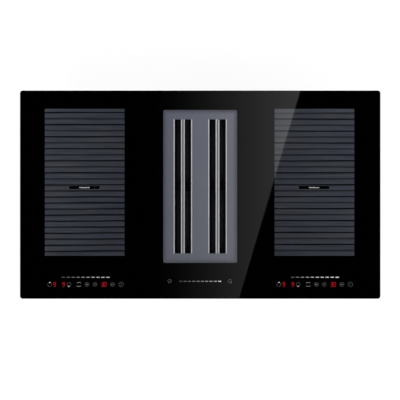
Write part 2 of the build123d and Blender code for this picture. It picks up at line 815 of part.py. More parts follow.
# ================= drip tray =================
def drip_tray():
    """Removable insert: a well at the front, and a roof that sheds liquid away from the blower's inlet."""
    width = shelf_inner[0] - 2 * tray_clearance
    front = intake_y - shelf_inner[1] / 2 + tray_front_clearance
    back = blower_y - inlet_radius - inlet_lip - tray_inlet_gap
    end = intake_y + shelf_inner[1] / 2 - tray_rear_clearance
    low = plenum_floor + TOUCH
    top = low + tray_height
    size, y = (width, back - front), (front + back) / 2
    tray = slab(*size, low, top, tray_corner, 0, y)
    hollow = [length - 2 * tray_wall for length in size]
    tray -= slab(*hollow, low + tray_wall, top + CUT, tray_corner - tray_wall, 0, y)
    start, high = back - tray_wall, top + roof_rise
    roof = [(start, top - roof_sheet), (end, high - roof_sheet), (end, high), (start, top)]
    rim = roof[:2] + [(end, high + roof_rim), (start, top + roof_rim / 6)]
    tray += side_plate(roof, width - 2 * roof_inset)
    leg_y = end - 2 * roof_leg_radius
    leg_top = top + roof_rise * (leg_y - start) / (end - start) - roof_sheet / 2
    for side in (-1, 1):
        tray += Pos(side * (width / 2 - roof_inset - tray_wall / 2), 0, 0) * side_plate(rim, tray_wall)
        tray += rod(roof_leg_radius, low, leg_top, side * (width / 2 - tray_corner), leg_y)
    tray += block(span(0, lug_size[0]), (front, front + lug_size[1]), (top - CUT, top + lug_size[2]))
    finger = Pos(0, front, top + lug_size[2] / 2) * Rot(90, 0, 0)
    return tray - finger * extrude(SlotOverall(*lug_hole), 2 * lug_size[1], both=True)


# ================= blower =================
def arc_centre(index):
    """Middle of the spiral's first, second or third arc."""
    x_way, y_way = ((-1, -1), (1, -1), (1, 1))[index]
    return blower_x + x_way * scroll_growth / 2, blower_y + y_way * scroll_growth / 2


def flow_outline():
    """The scroll's inner outline in plan: three arcs that grow, then a straight exit to the rear."""
    radius = impeller_radius + scroll_start
    first = CenterArc(arc_centre(0), radius, tongue_angle, 180 - tongue_angle)
    second = CenterArc(arc_centre(1), radius + scroll_growth, 180, 90)
    third = CenterArc(arc_centre(2), radius + 2 * scroll_growth, 270, 90)
    east = (third @ 1).X
    rear_right, rear_left = (east, outlet_flange_y), (east - exit_width, outlet_flange_y)
    outlet = [Line(third @ 1, rear_right), Line(rear_right, rear_left), Line(rear_left, first @ 0)]
    return make_face([first, second, third] + outlet)


def exit_span():
    """Inner x range of the scroll's exit."""
    east = blower_x + scroll_growth / 2 + impeller_radius + scroll_start + 2 * scroll_growth
    return east - exit_width, east


def scroll_lug_points():
    """Screw lugs round the outside of the scroll."""
    first = impeller_radius + scroll_start + scroll_wall + 0.75 * lug_radius
    points = []
    for index, angles in enumerate(lug_angles):
        x, y = arc_centre(index)
        radius = first + index * scroll_growth
        for angle in [math.radians(degrees) for degrees in angles]:
            points.append((x + radius * math.cos(angle), y + radius * math.sin(angle)))
    return points


def scroll_cover():
    """Top plate of the blower with a rounded bell mouth that rises into the plenum."""
    outline = offset(flow_outline(), scroll_wall)
    plate = Pos(0, 0, scroll_top) * extrude(outline, cover_thickness)
    plate += [rod(lug_radius, scroll_top, plenum_bottom, x, y) for x, y in scroll_lug_points()]
    plate -= Pos(0, 0, scroll_top - CUT) * extrude(beyond_exit(), cover_thickness + 2 * CUT)
    plate -= rod(inlet_radius, scroll_top - CUT, plenum_bottom + CUT, blower_x, blower_y)
    plate += Pos(blower_x, blower_y, 0) * bell_mouth()
    return plate - holes(scroll_lug_points(), screw_radius + lug_fit, scroll_top, plenum_bottom)


def beyond_exit():
    """Everything behind the scroll's exit plane, for trimming."""
    size = 2 * outlet_width
    return Pos(0, outlet_flange_y + size / 2) * Rectangle(2 * size, size)


def bell_mouth():
    """Ring with a half-round lip on top and a lower spigot that dips to the impeller's eye."""
    outer, inner, spigot = inlet_radius + inlet_lip, inlet_radius, inlet_radius + inlet_wall
    low, half = scroll_top - inlet_reach, inlet_lip / 2
    top = plenum_bottom + inlet_rise
    shoulder = top - half
    lip = ThreePointArc((inner, 0, shoulder), (inner + half, 0, top), (outer, 0, shoulder))
    corners_below = [(outer, scroll_top), (spigot, scroll_top), (spigot, low), (inner, low)]
    points = [(r, 0, z) for r, z in [(outer, shoulder)] + corners_below + [(inner, shoulder)]]
    return revolve(make_face([lip, Polyline(*points)]), Axis.Z)


def bush_points():
    """Middles of the rubber bushes round the motor."""
    angles = [math.radians(90 + 360 * i / bush_count) for i in range(bush_count)]
    return [(blower_x + bush_circle * math.cos(a), blower_y + bush_circle * math.sin(a)) for a in angles]


def scroll_housing():
    """Moulded blower casing: spiral wall, floor with a raised motor seat, exit flange and screw lugs."""
    flow = flow_outline()
    outline = offset(flow, scroll_wall)
    height = scroll_top - scroll_bottom
    shell = Pos(0, 0, scroll_bottom) * extrude(outline, height)
    lug_bottom = scroll_bottom + lug_recess
    shell += [rod(lug_radius, lug_bottom, scroll_top, x, y) for x, y in scroll_lug_points()]
    flange_y = (outlet_flange_y - outlet_flange_thickness, outlet_flange_y)
    shell += block(flange_span(), flange_y, (scroll_bottom, scroll_top))
    shell -= Pos(0, 0, scroll_bottom - CUT) * extrude(beyond_exit(), height + 2 * CUT)
    shell -= Pos(0, 0, scroll_floor) * extrude(flow, height)
    x, y = blower_x, blower_y
    shell += rod(motor_seat_radius, scroll_floor, motor_seat, x, y)
    shell -= rod(motor_seat_radius - scroll_wall, scroll_bottom - CUT, motor_seat - scroll_wall, x, y)
    shell -= holes(bush_points(), screw_hole, scroll_bottom, motor_seat)
    shell -= holes(scroll_lug_points(), screw_radius + lug_fit, scroll_bottom, scroll_top)
    drill_start = outlet_flange_y - side_screw_length - CUT
    for px, z in outlet_screw_points():
        shell -= rod_y(screw_hole, drill_start, outlet_flange_y + CUT, px, z)
    return shell


def flange_span():
    """x range of the flange between housing and outlet."""
    left, right = exit_span()
    reach = scroll_wall + outlet_flange
    return left - reach, right + reach


def outlet_screw_points():
    """Screws through the outlet's flange: (x, z)."""
    left, right = exit_span()
    reach = scroll_wall + 0.6 * outlet_flange
    levels = (scroll_bottom + outlet_screw_inset, scroll_top - outlet_screw_inset)
    return [(x, z) for x in (left - reach, right + reach) for z in levels]


def motor_base():
    """Cast motor flange on its bushes, with the tube that carries the bearings."""
    low, top = motor_tube_levels()
    base = rod(motor_flange_radius, low, low + motor_flange) + rod(stator_tube_radius, low, top)
    base -= rod(shaft_radius + shaft_clearance, low - CUT, top + CUT)
    base -= rod(bearing_radius, low - CUT, low + bearing_width)
    base -= rod(bearing_radius, top - bearing_width, top + CUT)
    return Pos(blower_x, blower_y, 0) * base - holes(bush_points(), screw_hole, low, low + motor_flange)


def motor_tube_levels():
    """Lowest and highest faces of the motor's bearing tube."""
    low = motor_seat + bush_height
    return low, low + motor_flange + stator_height + tube_rise


def motor_bearings():
    """Two ball bearings, each as a ring with a shallow groove for its shield."""
    bore = shaft_radius + shaft_fit
    body = tube(bearing_radius, bore, 0, bearing_width)
    race = (bearing_radius - bore) / 3
    body -= tube(bearing_radius - race, bore + race, bearing_width - bearing_groove, bearing_width + CUT)
    low, top = motor_tube_levels()
    return [Pos(blower_x, blower_y, z) * body for z in (low, top - bearing_width)]


def motor_stator():
    """Slotted stator core with its windings, pressed over the motor's tube."""
    low = motor_tube_levels()[0] + motor_flange
    core = Pos(0, 0, stator_height / 2) * Cylinder(stator_radius, stator_height)
    core -= rod(stator_tube_radius, -CUT, stator_height + CUT)
    depth = stator_height + 2 * CUT
    slot = Pos(stator_radius - pole_slot[0] / 2 - slot_mouth, 0, stator_height / 2) * Box(*pole_slot, depth)
    mouth = Pos(stator_radius, 0, stator_height / 2) * Box(3 * slot_mouth, slot_mouth, depth)
    for i in range(stator_poles):
        core -= Rot(0, 0, i * 360 / stator_poles) * (slot + mouth)
    return Pos(blower_x, blower_y, low) * core


def motor_bushes():
    """Rubber bushes between the motor's flange and its seat."""
    low, high = motor_seat, motor_seat + bush_height
    made = []
    for x, y in bush_points():
        bush = tube(bush_radius, screw_hole, low, high, x, y)
        waist = (low + bush_rim, high - bush_rim)
        bush -= rod(bush_radius + CUT, *waist, x, y) - rod(bush_radius - bush_waist, *waist, x, y)
        made.append(bush)
    return made


def rotor_top():
    """Highest face of the motor's rotor cup."""
    return motor_tube_levels()[0] + motor_flange + rotor_gap + rotor_height


def motor_rotor():
    """Rotor cup of the external-rotor motor, closed at the top and bevelled round it."""
    top, low = rotor_top(), rotor_top() - rotor_height
    inner, bevel = rotor_radius - rotor_wall, rotor_bevel + rotor_wall / 2
    profile = [
        (rotor_radius, low),
        (rotor_radius, top - rotor_bevel),
        (rotor_radius - rotor_bevel, top),
        (shaft_radius, top),
        (shaft_radius, top - rotor_wall),
        (inner - bevel + rotor_wall, top - rotor_wall),
        (inner, top - bevel),
        (inner, low),
    ]
    return Pos(blower_x, blower_y, 0) * turned(profile)


def motor_shaft():
    """Steel shaft pressed into the rotor cup and turning in both bearings."""
    low = motor_tube_levels()[0] + shaft_lift
    return rod(shaft_radius, low, rotor_top() + hub_wall + hub_boss + CUT, blower_x, blower_y)


def impeller():
    """Forward-curved wheel: back plate with a domed hub, blades and a top ring."""
    low, high, top = impeller_bottom, impeller_top, rotor_top()
    inner = rotor_radius + hub_gap
    outer = inner + hub_wall
    boss, slope = shaft_radius + hub_boss, rotor_bevel + CUT
    profile = [
        (impeller_radius, low),
        (impeller_radius, low + hub_wall),
        (outer + slope, low + hub_wall),
        (outer, low + hub_wall + slope),
        (outer, top - rotor_bevel),
        (inner - rotor_bevel, top + hub_wall),
        (boss, top + hub_wall),
        (boss, top + hub_wall + hub_boss),
        (shaft_radius, top + hub_wall + hub_boss),
        (shaft_radius, top),
        (inner - slope, top),
        (inner, top - slope),
        (inner, low + slope),
        (inner + slope - hub_wall, low),
    ]
    wheel = turned(profile)
    wheel += tube(impeller_radius, impeller_radius - wheel_rim_width, high - wheel_rim_height, high)
    foot = low + hub_wall / 2
    blade = Pos(0, 0, foot) * extrude(blade_outline(), high - wheel_rim_height / 2 - foot)
    blades = [Rot(0, 0, i * 360 / impeller_blades) * blade for i in range(impeller_blades)]
    return Pos(blower_x, blower_y, 0) * (wheel + blades)


def blade_outline():
    """Section of one curved blade: an arc and its copy, a blade's thickness apart."""
    lean = math.radians(blade_sweep)
    tip = impeller_radius - blade_inset
    start, end = (impeller_radius - blade_chord, 0.0), (tip * math.cos(lean), tip * math.sin(lean))
    middle = ((start[0] + end[0]) / 2 + blade_bow / 2, (start[1] + end[1]) / 2 - blade_bow)
    shifted = [(x, y + blade_thickness) for x, y in (start, middle, end)]
    sides = [ThreePointArc(start, middle, end), ThreePointArc(*reversed(shifted))]
    return make_face(sides + [Line(end, shifted[2]), Line(shifted[0], start)])


# ================= outlet =================
def upright_face(x, y, z, width, height):
    """A rectangle in a plane across Y."""
    plane = Plane(origin=(x, y, z), x_dir=(1, 0, 0), z_dir=(0, 1, 0))
    return (plane * Rectangle(width, height)).face()


def outlet_adapter():
    """Transition from the scroll's exit to the flat duct spigot, with a seat for the flap."""
    left, right = exit_span()
    x, width = (left + right) / 2, right - left
    floor, ceiling = scroll_floor, scroll_top
    z, height = (floor + ceiling) / 2, ceiling - floor
    start = outlet_flange_y
    neck, straight, end = start + outlet_flange_thickness, outlet_end - outlet_spigot, outlet_end
    inner_w, inner_h = outlet_width - 2 * outlet_wall, outlet_height - 2 * outlet_wall
    adapter = block(flange_span(), (start, neck), (scroll_bottom, scroll_top + cover_thickness))
    wide_start = upright_face(x, neck, z, width + 2 * outlet_wall, height + 2 * outlet_wall)
    wide_end = upright_face(outlet_x, straight, outlet_z, outlet_width, outlet_height)
    adapter += loft([wide_start, wide_end])
    adapter += block(span(outlet_x, outlet_width), (straight, end), span(outlet_z, outlet_height))
    adapter -= block((left, right), (start - CUT, neck), (floor, ceiling))
    inner_end = upright_face(outlet_x, straight, outlet_z, inner_w, inner_h)
    adapter -= loft([upright_face(x, neck, z, width, height), inner_end])
    seat_y = flap_y() - flap_thickness / 2 - flap_gap
    seat_w, seat_h = inner_w - 2 * flap_seat, inner_h - 2 * flap_seat
    before, behind = (straight, seat_y - flap_seat_thickness), (seat_y, end + CUT)
    adapter -= block(span(outlet_x, inner_w), before, span(outlet_z, inner_h))
    adapter -= block(span(outlet_x, inner_w), behind, span(outlet_z, inner_h))
    adapter -= block(span(outlet_x, seat_w), (straight, end), span(outlet_z, seat_h))
    adapter -= rod_x(flap_barrel_radius + flap_gap, *span(outlet_x, inner_w), flap_y(), flap_pin_z())
    adapter -= rod_x(flap_pin_radius, *span(outlet_x, outlet_width + 2 * CUT), flap_y(), flap_pin_z())
    return adapter - [rod_y(screw_hole, start - CUT, neck + CUT, px, pz) for px, pz in outlet_screw_points()]


def flap_y():
    """Plane of the closed flap."""
    return outlet_end - flap_inset


def flap_pin_z():
    """Height of the flap's hinge pin."""
    return outlet_z + outlet_height / 2 - outlet_wall - flap_drop


def backdraft_flap():
    """Light flap that hangs closed and swings outwards in the air stream."""
    width = outlet_width - 2 * (outlet_wall + flap_side_gap)
    bottom = outlet_z - outlet_height / 2 + outlet_wall + flap_side_gap
    y, z = flap_y(), flap_pin_z()
    flap = block(span(outlet_x, width), span(y, flap_thickness), (bottom, z))
    flap += rod_x(flap_barrel_radius, *span(outlet_x, width), y, z)
    for i in (-1, 0, 1):
        x = outlet_x + i * 0.3 * width
        rib_z = (bottom + flap_rib_inset, z - flap_rib_inset)
        flap += block(span(x, flap_rib[0]), (y, y + flap_rib[1]), rib_z)
    return flap - rod_x(flap_pin_radius + flap_pin_fit, *span(outlet_x, width + 2 * CUT), y, z)


def flap_pin():
    """Steel pin fixed in the spigot's side walls."""
    return rod_x(flap_pin_radius, *span(outlet_x, outlet_width), flap_y(), flap_pin_z())


# ================= extractor's control box =================
def box_centre():
    """Middle of the control box in plan."""
    spiral_front = arc_centre(1)[1] - impeller_radius - scroll_start - scroll_growth - scroll_wall
    return box_x, spiral_front - box_gap - box_size[1] / 2


def box_screw_points():
    """Corners of the control box's lid."""
    return corners(box_size[0] - 2 * box_screw_inset, box_size[1] - 2 * box_screw_inset, *box_centre())


def control_box():
    """Sheet-metal box below the plenum, open downwards, with posts for its lid and vents in front."""
    width, depth, height = box_size
    x, y = box_centre()
    low, ceiling = plenum_bottom - height, plenum_bottom - box_sheet
    box = slab(width, depth, low + box_sheet, plenum_bottom, box_corner, x, y)
    box -= slab(width - 2 * box_sheet, depth - 2 * box_sheet, low, ceiling, box_corner - box_sheet, x, y)
    for px, py in box_screw_points():
        box += tube(box_post_radius, screw_radius + lug_fit, low + box_sheet, ceiling + box_sheet / 2, px, py)
    front, vent_z = y - depth / 2, span(low + height / 2, box_vent[1])
    for i in range(box_vents):
        vent_x = x + (i - (box_vents - 1) / 2) * box_vent_pitch
        box -= block(span(vent_x, box_vent[0]), span(front, 2 * box_sheet + CUT), vent_z)
    return box


def control_box_lid():
    """Lid of the control box."""
    width, depth, height = box_size
    x, y = box_centre()
    low = plenum_bottom - height
    lid = slab(width, depth, low, low + box_sheet, box_corner, x, y)
    return lid - holes(box_screw_points(), screw_hole, low, low + box_sheet)


def control_board():
    """Blower's drive board, the posts it hangs on, two capacitors, a transformer and a connector."""
    x, y = box_centre()
    z = plenum_bottom - control_board_drop
    board = slab(*control_board_size, z, z + board_thickness, board_corner, x, y)
    post_z = (z + board_thickness, plenum_bottom - box_sheet)
    posts = [rod(control_post_radius, *post_z, px, py) for px, py in corners(*control_post, x, y)]
    capacitors = [rod(8, z - 20, z, x - 26, y + shift) for shift in (12, -12)]
    transformer = bar(x + 4, y, (z - 14, z), (24, 28))
    connector = bar(x + 32, y, (z - 10, z), (16, 40))
    return [board, transformer, connector] + posts + capacitors


# ================= induction hardware =================
def coil_centres(side):
    """Middles of the rear and front coils of one zone."""
    return [(side * zone_x, zone_y + row * coil_offset) for row in (1, -1)]


def coil_carrier(side):
    """Aluminium plate under two coils, with turned-down lips and holes for sensors and leads."""
    width, depth = zone_width + 2 * carrier_margin, zone_depth + 2 * carrier_margin
    x, y = side * zone_x, zone_y
    plate = slab(width, depth, carrier_bottom, ferrite_bottom, carrier_corner, x, y)
    lip_z = (carrier_bottom - carrier_lip, carrier_bottom)
    for edge in (-1, 1):
        lip_y = y + edge * (depth - carrier_sheet) / 2
        plate += bar(x, lip_y, lip_z, (width - 2 * lip_inset, carrier_sheet))
    plate -= holes(coil_centres(side), sensor_hole, carrier_bottom, ferrite_bottom)
    for cx, cy in coil_centres(side):
        for shift in (-lead_spread, lead_spread):
            place = (cx - side * coil_width / 2, cy + shift)
            plate -= slab(*lead_hole, carrier_bottom - CUT, ferrite_bottom + CUT, board_corner, *place)
    return plate


def coil(cx, cy):
    """Flat coil of wound litz wire, its turns shown as ridges on a thin annulus."""
    turns = int((coil_width - coil_core[0]) / 2 / coil_turn)
    groove_z = mica_bottom - coil_groove
    base = slab(coil_width, coil_depth, coil_bottom, groove_z, coil_corner, cx, cy)
    wire = wire_share * coil_turn
    for i in range(turns):
        inset = 2 * i * coil_turn
        corner = coil_corner - i * (coil_corner - coil_core_corner - wire) / turns
        base += ring(coil_width - inset, coil_depth - inset, wire, groove_z, mica_bottom, corner, cx, cy)
    core = (coil_width - 2 * turns * coil_turn, coil_depth - 2 * turns * coil_turn)
    return base - slab(*core, coil_bottom - CUT, mica_bottom + CUT, coil_core_corner, cx, cy)


def ferrites(side):
    """Ferrite bars set like spokes under each coil."""
    bars = []
    length = ferrite_size[1]
    for cx, cy in coil_centres(side):
        for i in range(ferrites_per_coil):
            spoke = Pos(ferrite_start + length / 2, 0, 0) * Box(length, ferrite_size[0], ferrite_size[2])
            spin = Rot(0, 0, (i + 0.5) * 360 / ferrites_per_coil)
            bars.append(Pos(cx, cy, (ferrite_bottom + coil_bottom) / 2) * spin * spoke)
    return bars


def mica_sheet(side):
    """Mica insulation between the coils and the glass, with a hole at each sensor."""
    width, depth = zone_width + 2 * mica_margin, zone_depth + 2 * mica_margin
    sheet = slab(width, depth, mica_bottom, glass_bottom, carrier_corner, side * zone_x, zone_y)
    return sheet - holes(coil_centres(side), sensor_hole, mica_bottom, glass_bottom)


def temperature_sensor(cx, cy):
    """Sensor pill held against the glass in a coil's core by a stepped holder."""
    pill = rod(sensor_radius, ferrite_bottom, glass_bottom - sensor_gap, cx, cy)
    width, depth, height = sensor_foot
    return pill + slab(width, depth, ferrite_bottom, ferrite_bottom + height, board_corner, cx, cy)


def bracket_places(side):
    """Where a carrier stands on sprung brackets: (x, y, outward direction)."""
    depth = zone_depth + 2 * carrier_margin
    half = (zone_width + 2 * carrier_margin) / 2 - bracket_width
    x = side * zone_x
    front, rear = zone_y - depth / 2 + bracket_inset, zone_y + depth / 2 - bracket_inset
    return [(x + i * half, y, i) for i in (-1, 1) for y in (front, rear)]


def carrier_bracket(x, y, outward):
    """Z-shaped sheet bracket that stands on the pan's floor and carries a leaf spring."""
    high = carrier_bottom - spring_height
    deep = span(0, bracket_width)
    bracket = block((0, bracket_foot), deep, (pan_floor, pan_floor + bracket_sheet))
    bracket += block((0, bracket_sheet), deep, (pan_floor, high))
    bracket += block((-bracket_tab, bracket_sheet), deep, (high - bracket_sheet, high))
    return Pos(x, y, 0) * Rot(0, 0, 0 if outward > 0 else 180) * bracket


def carrier_spring(x, y, outward):
    """Bent leaf that presses the coil carrier up against the glass."""
    low, high = carrier_bottom - spring_height, carrier_bottom - spring_sheet
    left, right = spring_inset - bracket_tab, 0.0
    middle = (left + right) / 2
    path = [(left, low), (left + spring_foot, low), (middle - spring_crown / 2, high)]
    path += [(middle + spring_crown / 2, high), (right - spring_foot, low), (right, low)]
    leaf = folded_sheet(path, spring_sheet, bracket_width - 4 * spring_inset)
    return Pos(x, y, 0) * Rot(0, 0, 0 if outward > 0 else 180) * leaf


def power_board_sheet(side):
    """Circuit board that drives one zone's coils."""
    x, y = board_centre(side)
    board = slab(*power_board, board_bottom, board_top, board_corner, x, y)
    return board - holes(board_screw_points(side), screw_hole, board_bottom, board_top)


def heat_sink_block(side):
    """Finned aluminium heat sink with channels along Y, in the cooling fan's air stream."""
    width, depth, height = heat_sink
    x, y = board_centre(side)
    x -= side * heat_sink_shift[0]
    y -= heat_sink_shift[1]
    sink = bar(x, y, (board_top, board_top + heat_sink_base), (width, depth))
    pitch = (width - fin_thickness) / (heat_sink_fins - 1)
    for i in range(heat_sink_fins):
        fin_x = x + (i - (heat_sink_fins - 1) / 2) * pitch
        sink += bar(fin_x, y, (board_top, board_top + height), (fin_thickness, depth))
    return sink


def power_components(side):
    """Capacitors, choke, relays and terminals that stand on a power board."""
    x, y = board_centre(side)
    column = x + side * 40
    parts = [bar(column, y + shift, (board_top, board_top + 20), (32, 18)) for shift in (-62, -38)]
    parts += [rod(9, board_top, board_top + 24, column + side * shift, y + 2) for shift in (-14, 10)]
    parts.append(tube(16, 7, board_top, board_top + 14, column, y + 40))
    parts += [bar(x - side * 30, y + shift, (board_top, board_top + 15), (18, 14)) for shift in (58, 78)]
    parts += [bar(column + shift, y + 75, (board_top, board_top + 9), (4, 6)) for shift in range(-20, 21, 10)]
    return parts


def cooling_fan(side):
    """Frame of an axial fan: square, with a round duct, four struts, a hub plate and a pin."""
    x, y = fan_centre(side)
    high = fan_thickness
    frame = slab(fan_size, fan_size, 0, high, fan_corner)
    frame -= rod(fan_duct_radius + fan_tip_gap, -CUT, high + CUT)
    hole_spacing = fan_size - 2 * fan_hole_inset
    frame -= holes(corners(hole_spacing, hole_spacing), fan_hole_radius, 0, high)
    strut_x = (fan_hub_radius + fan_duct_radius) / 2
    strut_length = fan_duct_radius - fan_hub_radius + 2 * fan_strut[1]
    strut = bar(strut_x, 0, (0, fan_strut[1]), (strut_length, fan_strut[0]))
    frame += [Rot(0, 0, 45 + 90 * i) * strut for i in range(4)]
    frame += rod(fan_hub_radius, 0, fan_strut[1])
    frame += rod(fan_pin_radius, 0, high - fan_pin_inset)
    return Pos(x, y, pan_floor) * frame


def cooling_rotor(side):
    """Hub and pitched blades of an axial fan, turning on the frame's pin."""
    x, y = fan_centre(side)
    low, high = fan_strut[1] + TOUCH, fan_thickness - fan_tip_gap
    swept = tube(fan_duct_radius - fan_tip_gap / 2, fan_hub_radius - fan_tip_gap, low, high)
    reach = fan_duct_radius - fan_hub_radius + fan_thickness / 3
    blade = Rot(fan_pitch, 0, 0) * Box(reach, fan_thickness, fan_blade_thickness)
    blade = Pos((fan_hub_radius + fan_duct_radius) / 2, 0, (low + high) / 2) * blade
    rotor = rod(fan_hub_radius, low, high)
    rotor += [(Rot(0, 0, i * 360 / fan_blades) * blade) & swept for i in range(fan_blades)]
    rotor -= rod(fan_pin_radius + fan_pin_fit, low - CUT, high - fan_pin_cap)
    return Pos(x, y, pan_floor) * rotor


# ================= touch controls =================
def touch_places():
    """Middles of the three control panels in X, and whether each one is a zone panel."""
    return {"left": (-zone_x, True), "centre": (0.0, False), "right": (zone_x, True)}


def key_points(x, zone_panel):
    """Middles of a panel's touch keys."""
    y = -glass_depth / 2 + key_margin + (0 if zone_panel else panel_shift)
    return [(x + shift, y) for shift in (key_offsets if zone_panel else fan_key_offsets)]


def digit_points(x, zone_panel):
    """Middles of a zone panel's digits."""
    y = -glass_depth / 2 + key_margin
    return [(x + shift, y) for shift in digit_offsets] if zone_panel else []


def touch_depth(zone_panel):
    """Front-to-back size of a control panel's board."""
    return touch_board[1] if zone_panel else touch_board[1] - panel_shift


def touch_sheet(x, zone_panel):
    """Circuit board behind one touch panel."""
    top = glass_bottom - light_guide
    depth = touch_depth(zone_panel)
    return slab(touch_board[0], depth, top - board_thickness, top, board_corner, x, touch_y)


def light_guide_block(x, zone_panel):
    """White plastic guide between board and glass, with wells for keys, digits and slider lights."""
    low, high = glass_bottom - light_guide, glass_bottom
    guide = slab(touch_board[0], touch_depth(zone_panel), low, high, board_corner, x, touch_y)
    tools = holes(key_points(x, zone_panel), key_radius, low, high)
    cut_z = (low - CUT, high + CUT)
    well = (digit_size[0] + 2 * digit_gap, digit_size[1] + 2 * digit_gap)
    tools += [bar(px, py, cut_z, well) for px, py in digit_points(x, zone_panel)]
    slider_y = -glass_depth / 2 + (slider_margin if zone_panel else key_margin + panel_shift)
    pitch = slider_pitch if zone_panel else fan_slider_pitch
    for i in range(slider_dashes):
        dash_x = x + (i - (slider_dashes - 1) / 2) * pitch
        tools.append(bar(dash_x, slider_y, cut_z, (dash_share * pitch, dash_depth)))
    return guide - tools


def touch_springs():
    """Sprung contacts that carry each key's field up to the glass."""
    low, high = glass_bottom - light_guide, glass_bottom
    springs = []
    for x, zone_panel in touch_places().values():
        for px, py in key_points(x, zone_panel):
            springs.append(tube(spring_radius, spring_radius - spring_wall, low, high, px, py))
    return springs


def digit_modules():
    """Seven-segment display modules."""
    low, high = glass_bottom - light_guide, glass_bottom - digit_gap
    modules = []
    for x, zone_panel in touch_places().values():
        for px, py in digit_points(x, zone_panel):
            modules.append(slab(*digit_size, low, high, 0, px, py))
    return modules


# ================= mains connection =================
def filter_board_centre():
    """Middle of the mains filter board, by the pan's rear wall."""
    return filter_board_x, pan_depth / 2 - pan_sheet - filter_board_rear - filter_board_size[1] / 2


def filter_board_points():
    """Corners where the mains filter board stands on posts."""
    width, depth = [size - 2 * filter_screw_inset for size in filter_board_size]
    return corners(width, depth, *filter_board_centre())


def filter_board():
    """Mains filter board, with a ring choke and two film capacitors."""
    x, y = filter_board_centre()
    board = slab(*filter_board_size, board_bottom, board_top, board_corner, x, y)
    board -= holes(filter_board_points(), screw_hole, board_bottom, board_top)
    choke = tube(14, 6, board_top, board_top + 12, x - 30, y)
    capacitors = [bar(x + 1, y, (board_top, board_top + 16), (18, 32))]
    capacitors.append(bar(x + 33, y, (board_top, board_top + 14), (26, 10)))
    return [board, choke] + capacitors


def terminal_range():
    """x, y and z ranges of the terminal block."""
    width, depth, height = terminal_size
    rear = pan_depth / 2 - pan_sheet - terminal_rear
    return span(terminal_x, width), (rear - depth, rear), (pan_floor, pan_floor + height)


def terminal_block():
    """Mains terminal block with five screw terminals."""
    xs, ys, zs = terminal_range()
    body = block(xs, ys, zs)
    screw, screw_depth = terminal_screw
    wire, wire_depth, wire_z = terminal_wire
    for i in range(terminal_poles):
        x = xs[0] + (i + 0.5) * terminal_size[0] / terminal_poles
        body -= rod(screw, zs[1] - screw_depth, zs[1] + CUT, x, sum(ys) / 2)
        body -= rod_y(wire, ys[1] - wire_depth, ys[1] + CUT, x, zs[0] + wire_z)
    return body


def terminal_cover():
    """Plastic hood over the terminal block, open towards the rear wall and the floor."""
    xs, ys, zs = terminal_range()
    wall, gap = terminal_cover_wall, terminal_cover_gap
    rear, top = ys[1] + terminal_cover_reach, zs[1] + terminal_cover_reach
    skin = wall + gap
    outer = block((xs[0] - skin, xs[1] + skin), (ys[0] - skin, rear), (pan_floor, top))
    return outer - block((xs[0] - gap, xs[1] + gap), (ys[0] - gap, rear + CUT), (pan_floor - CUT, top - wall))


def cable_gland():
    """Flanged bush in the pan's rear wall for the mains lead."""
    start, end = pan_depth / 2 - pan_sheet - gland_inside, pan_depth / 2 + gland_flange
    gland = rod_y(gland_radius, pan_depth / 2, end, terminal_x, gland_z)
    gland += rod_y(gland_hole, start, end, terminal_x, gland_z)
    return gland - rod_y(gland_bore, start - CUT, end + CUT, terminal_x, gland_z)


# ================= clamps =================
def clamp_arm(name):
    """Swivelling clamp, parked along the pan's edge. It turns out under the worktop."""
    x, y = clamp_points()[name]
    high = pan_bottom - TOUCH
    low = high - clamp_sheet
    end = clamp_length - clamp_heel
    arm = slab(clamp_length, clamp_width, low, high, clamp_corner, clamp_length / 2 - clamp_heel, 0)
    arm += block((end - clamp_lip, end), span(0, clamp_width - 2 * clamp_corner), (low - clamp_lip, low))
    arm -= rod(clamp_screw_radius + clamp_fit, low - CUT, high + CUT)
    slot_x = (end - clamp_lip) / 2
    arm -= Pos(slot_x, 0, low - CUT) * extrude(SlotOverall(*clamp_slot), clamp_sheet + 2 * CUT)
    return Pos(x, y, 0) * Rot(0, 0, 0 if x < 0 else 180) * arm


def clamp_screws():
    """Pivot screws and their nuts inside the pan."""
    made = []
    seat = pan_bottom - TOUCH - clamp_sheet - TOUCH
    for x, y in clamp_points().values():
        screw = rod(clamp_head_radius, seat - clamp_head, seat, x, y)
        screw -= bar(x, y, (seat - clamp_head - CUT, seat - clamp_head / 2), driver_slot)
        screw += rod(clamp_screw_radius, seat, pan_floor + clamp_screw_reach, x, y)
        screw += Pos(x, y, pan_floor) * extrude(RegularPolygon(clamp_nut[0], 6), clamp_nut[1])
        made.append(screw)
    return made


# ================= screws =================
def upright_screw(x, y, seat, length):
    """Pan-head screw driven upwards. Its head lies below the seat."""
    low = seat - screw_head
    screw = rod(screw_head_radius, low, seat, x, y) + rod(screw_radius, seat, seat + length, x, y)
    for size in (driver_slot, driver_slot[::-1]):
        screw -= bar(x, y, (low - CUT, low + driver_depth), size)
    return screw


def hanging_screw(x, y, seat, length):
    """Pan-head screw driven downwards. Its head lies above the seat."""
    return Pos(x, y, seat) * Rot(180, 0, 0) * Pos(-x, -y, 0) * upright_screw(x, y, 0, length)


def side_screw(point):
    """Screw through the carrier frame's leg into the base pan's wall."""
    x, y, (dx, dy) = point
    screw = upright_screw(0, 0, 0, side_screw_length)
    if dy:
        return Pos(x, y, frame_screw_z) * Rot(90 * dy, 0, 0) * screw
    return Pos(x, y, frame_screw_z) * Rot(0, -90 * dx, 0) * screw


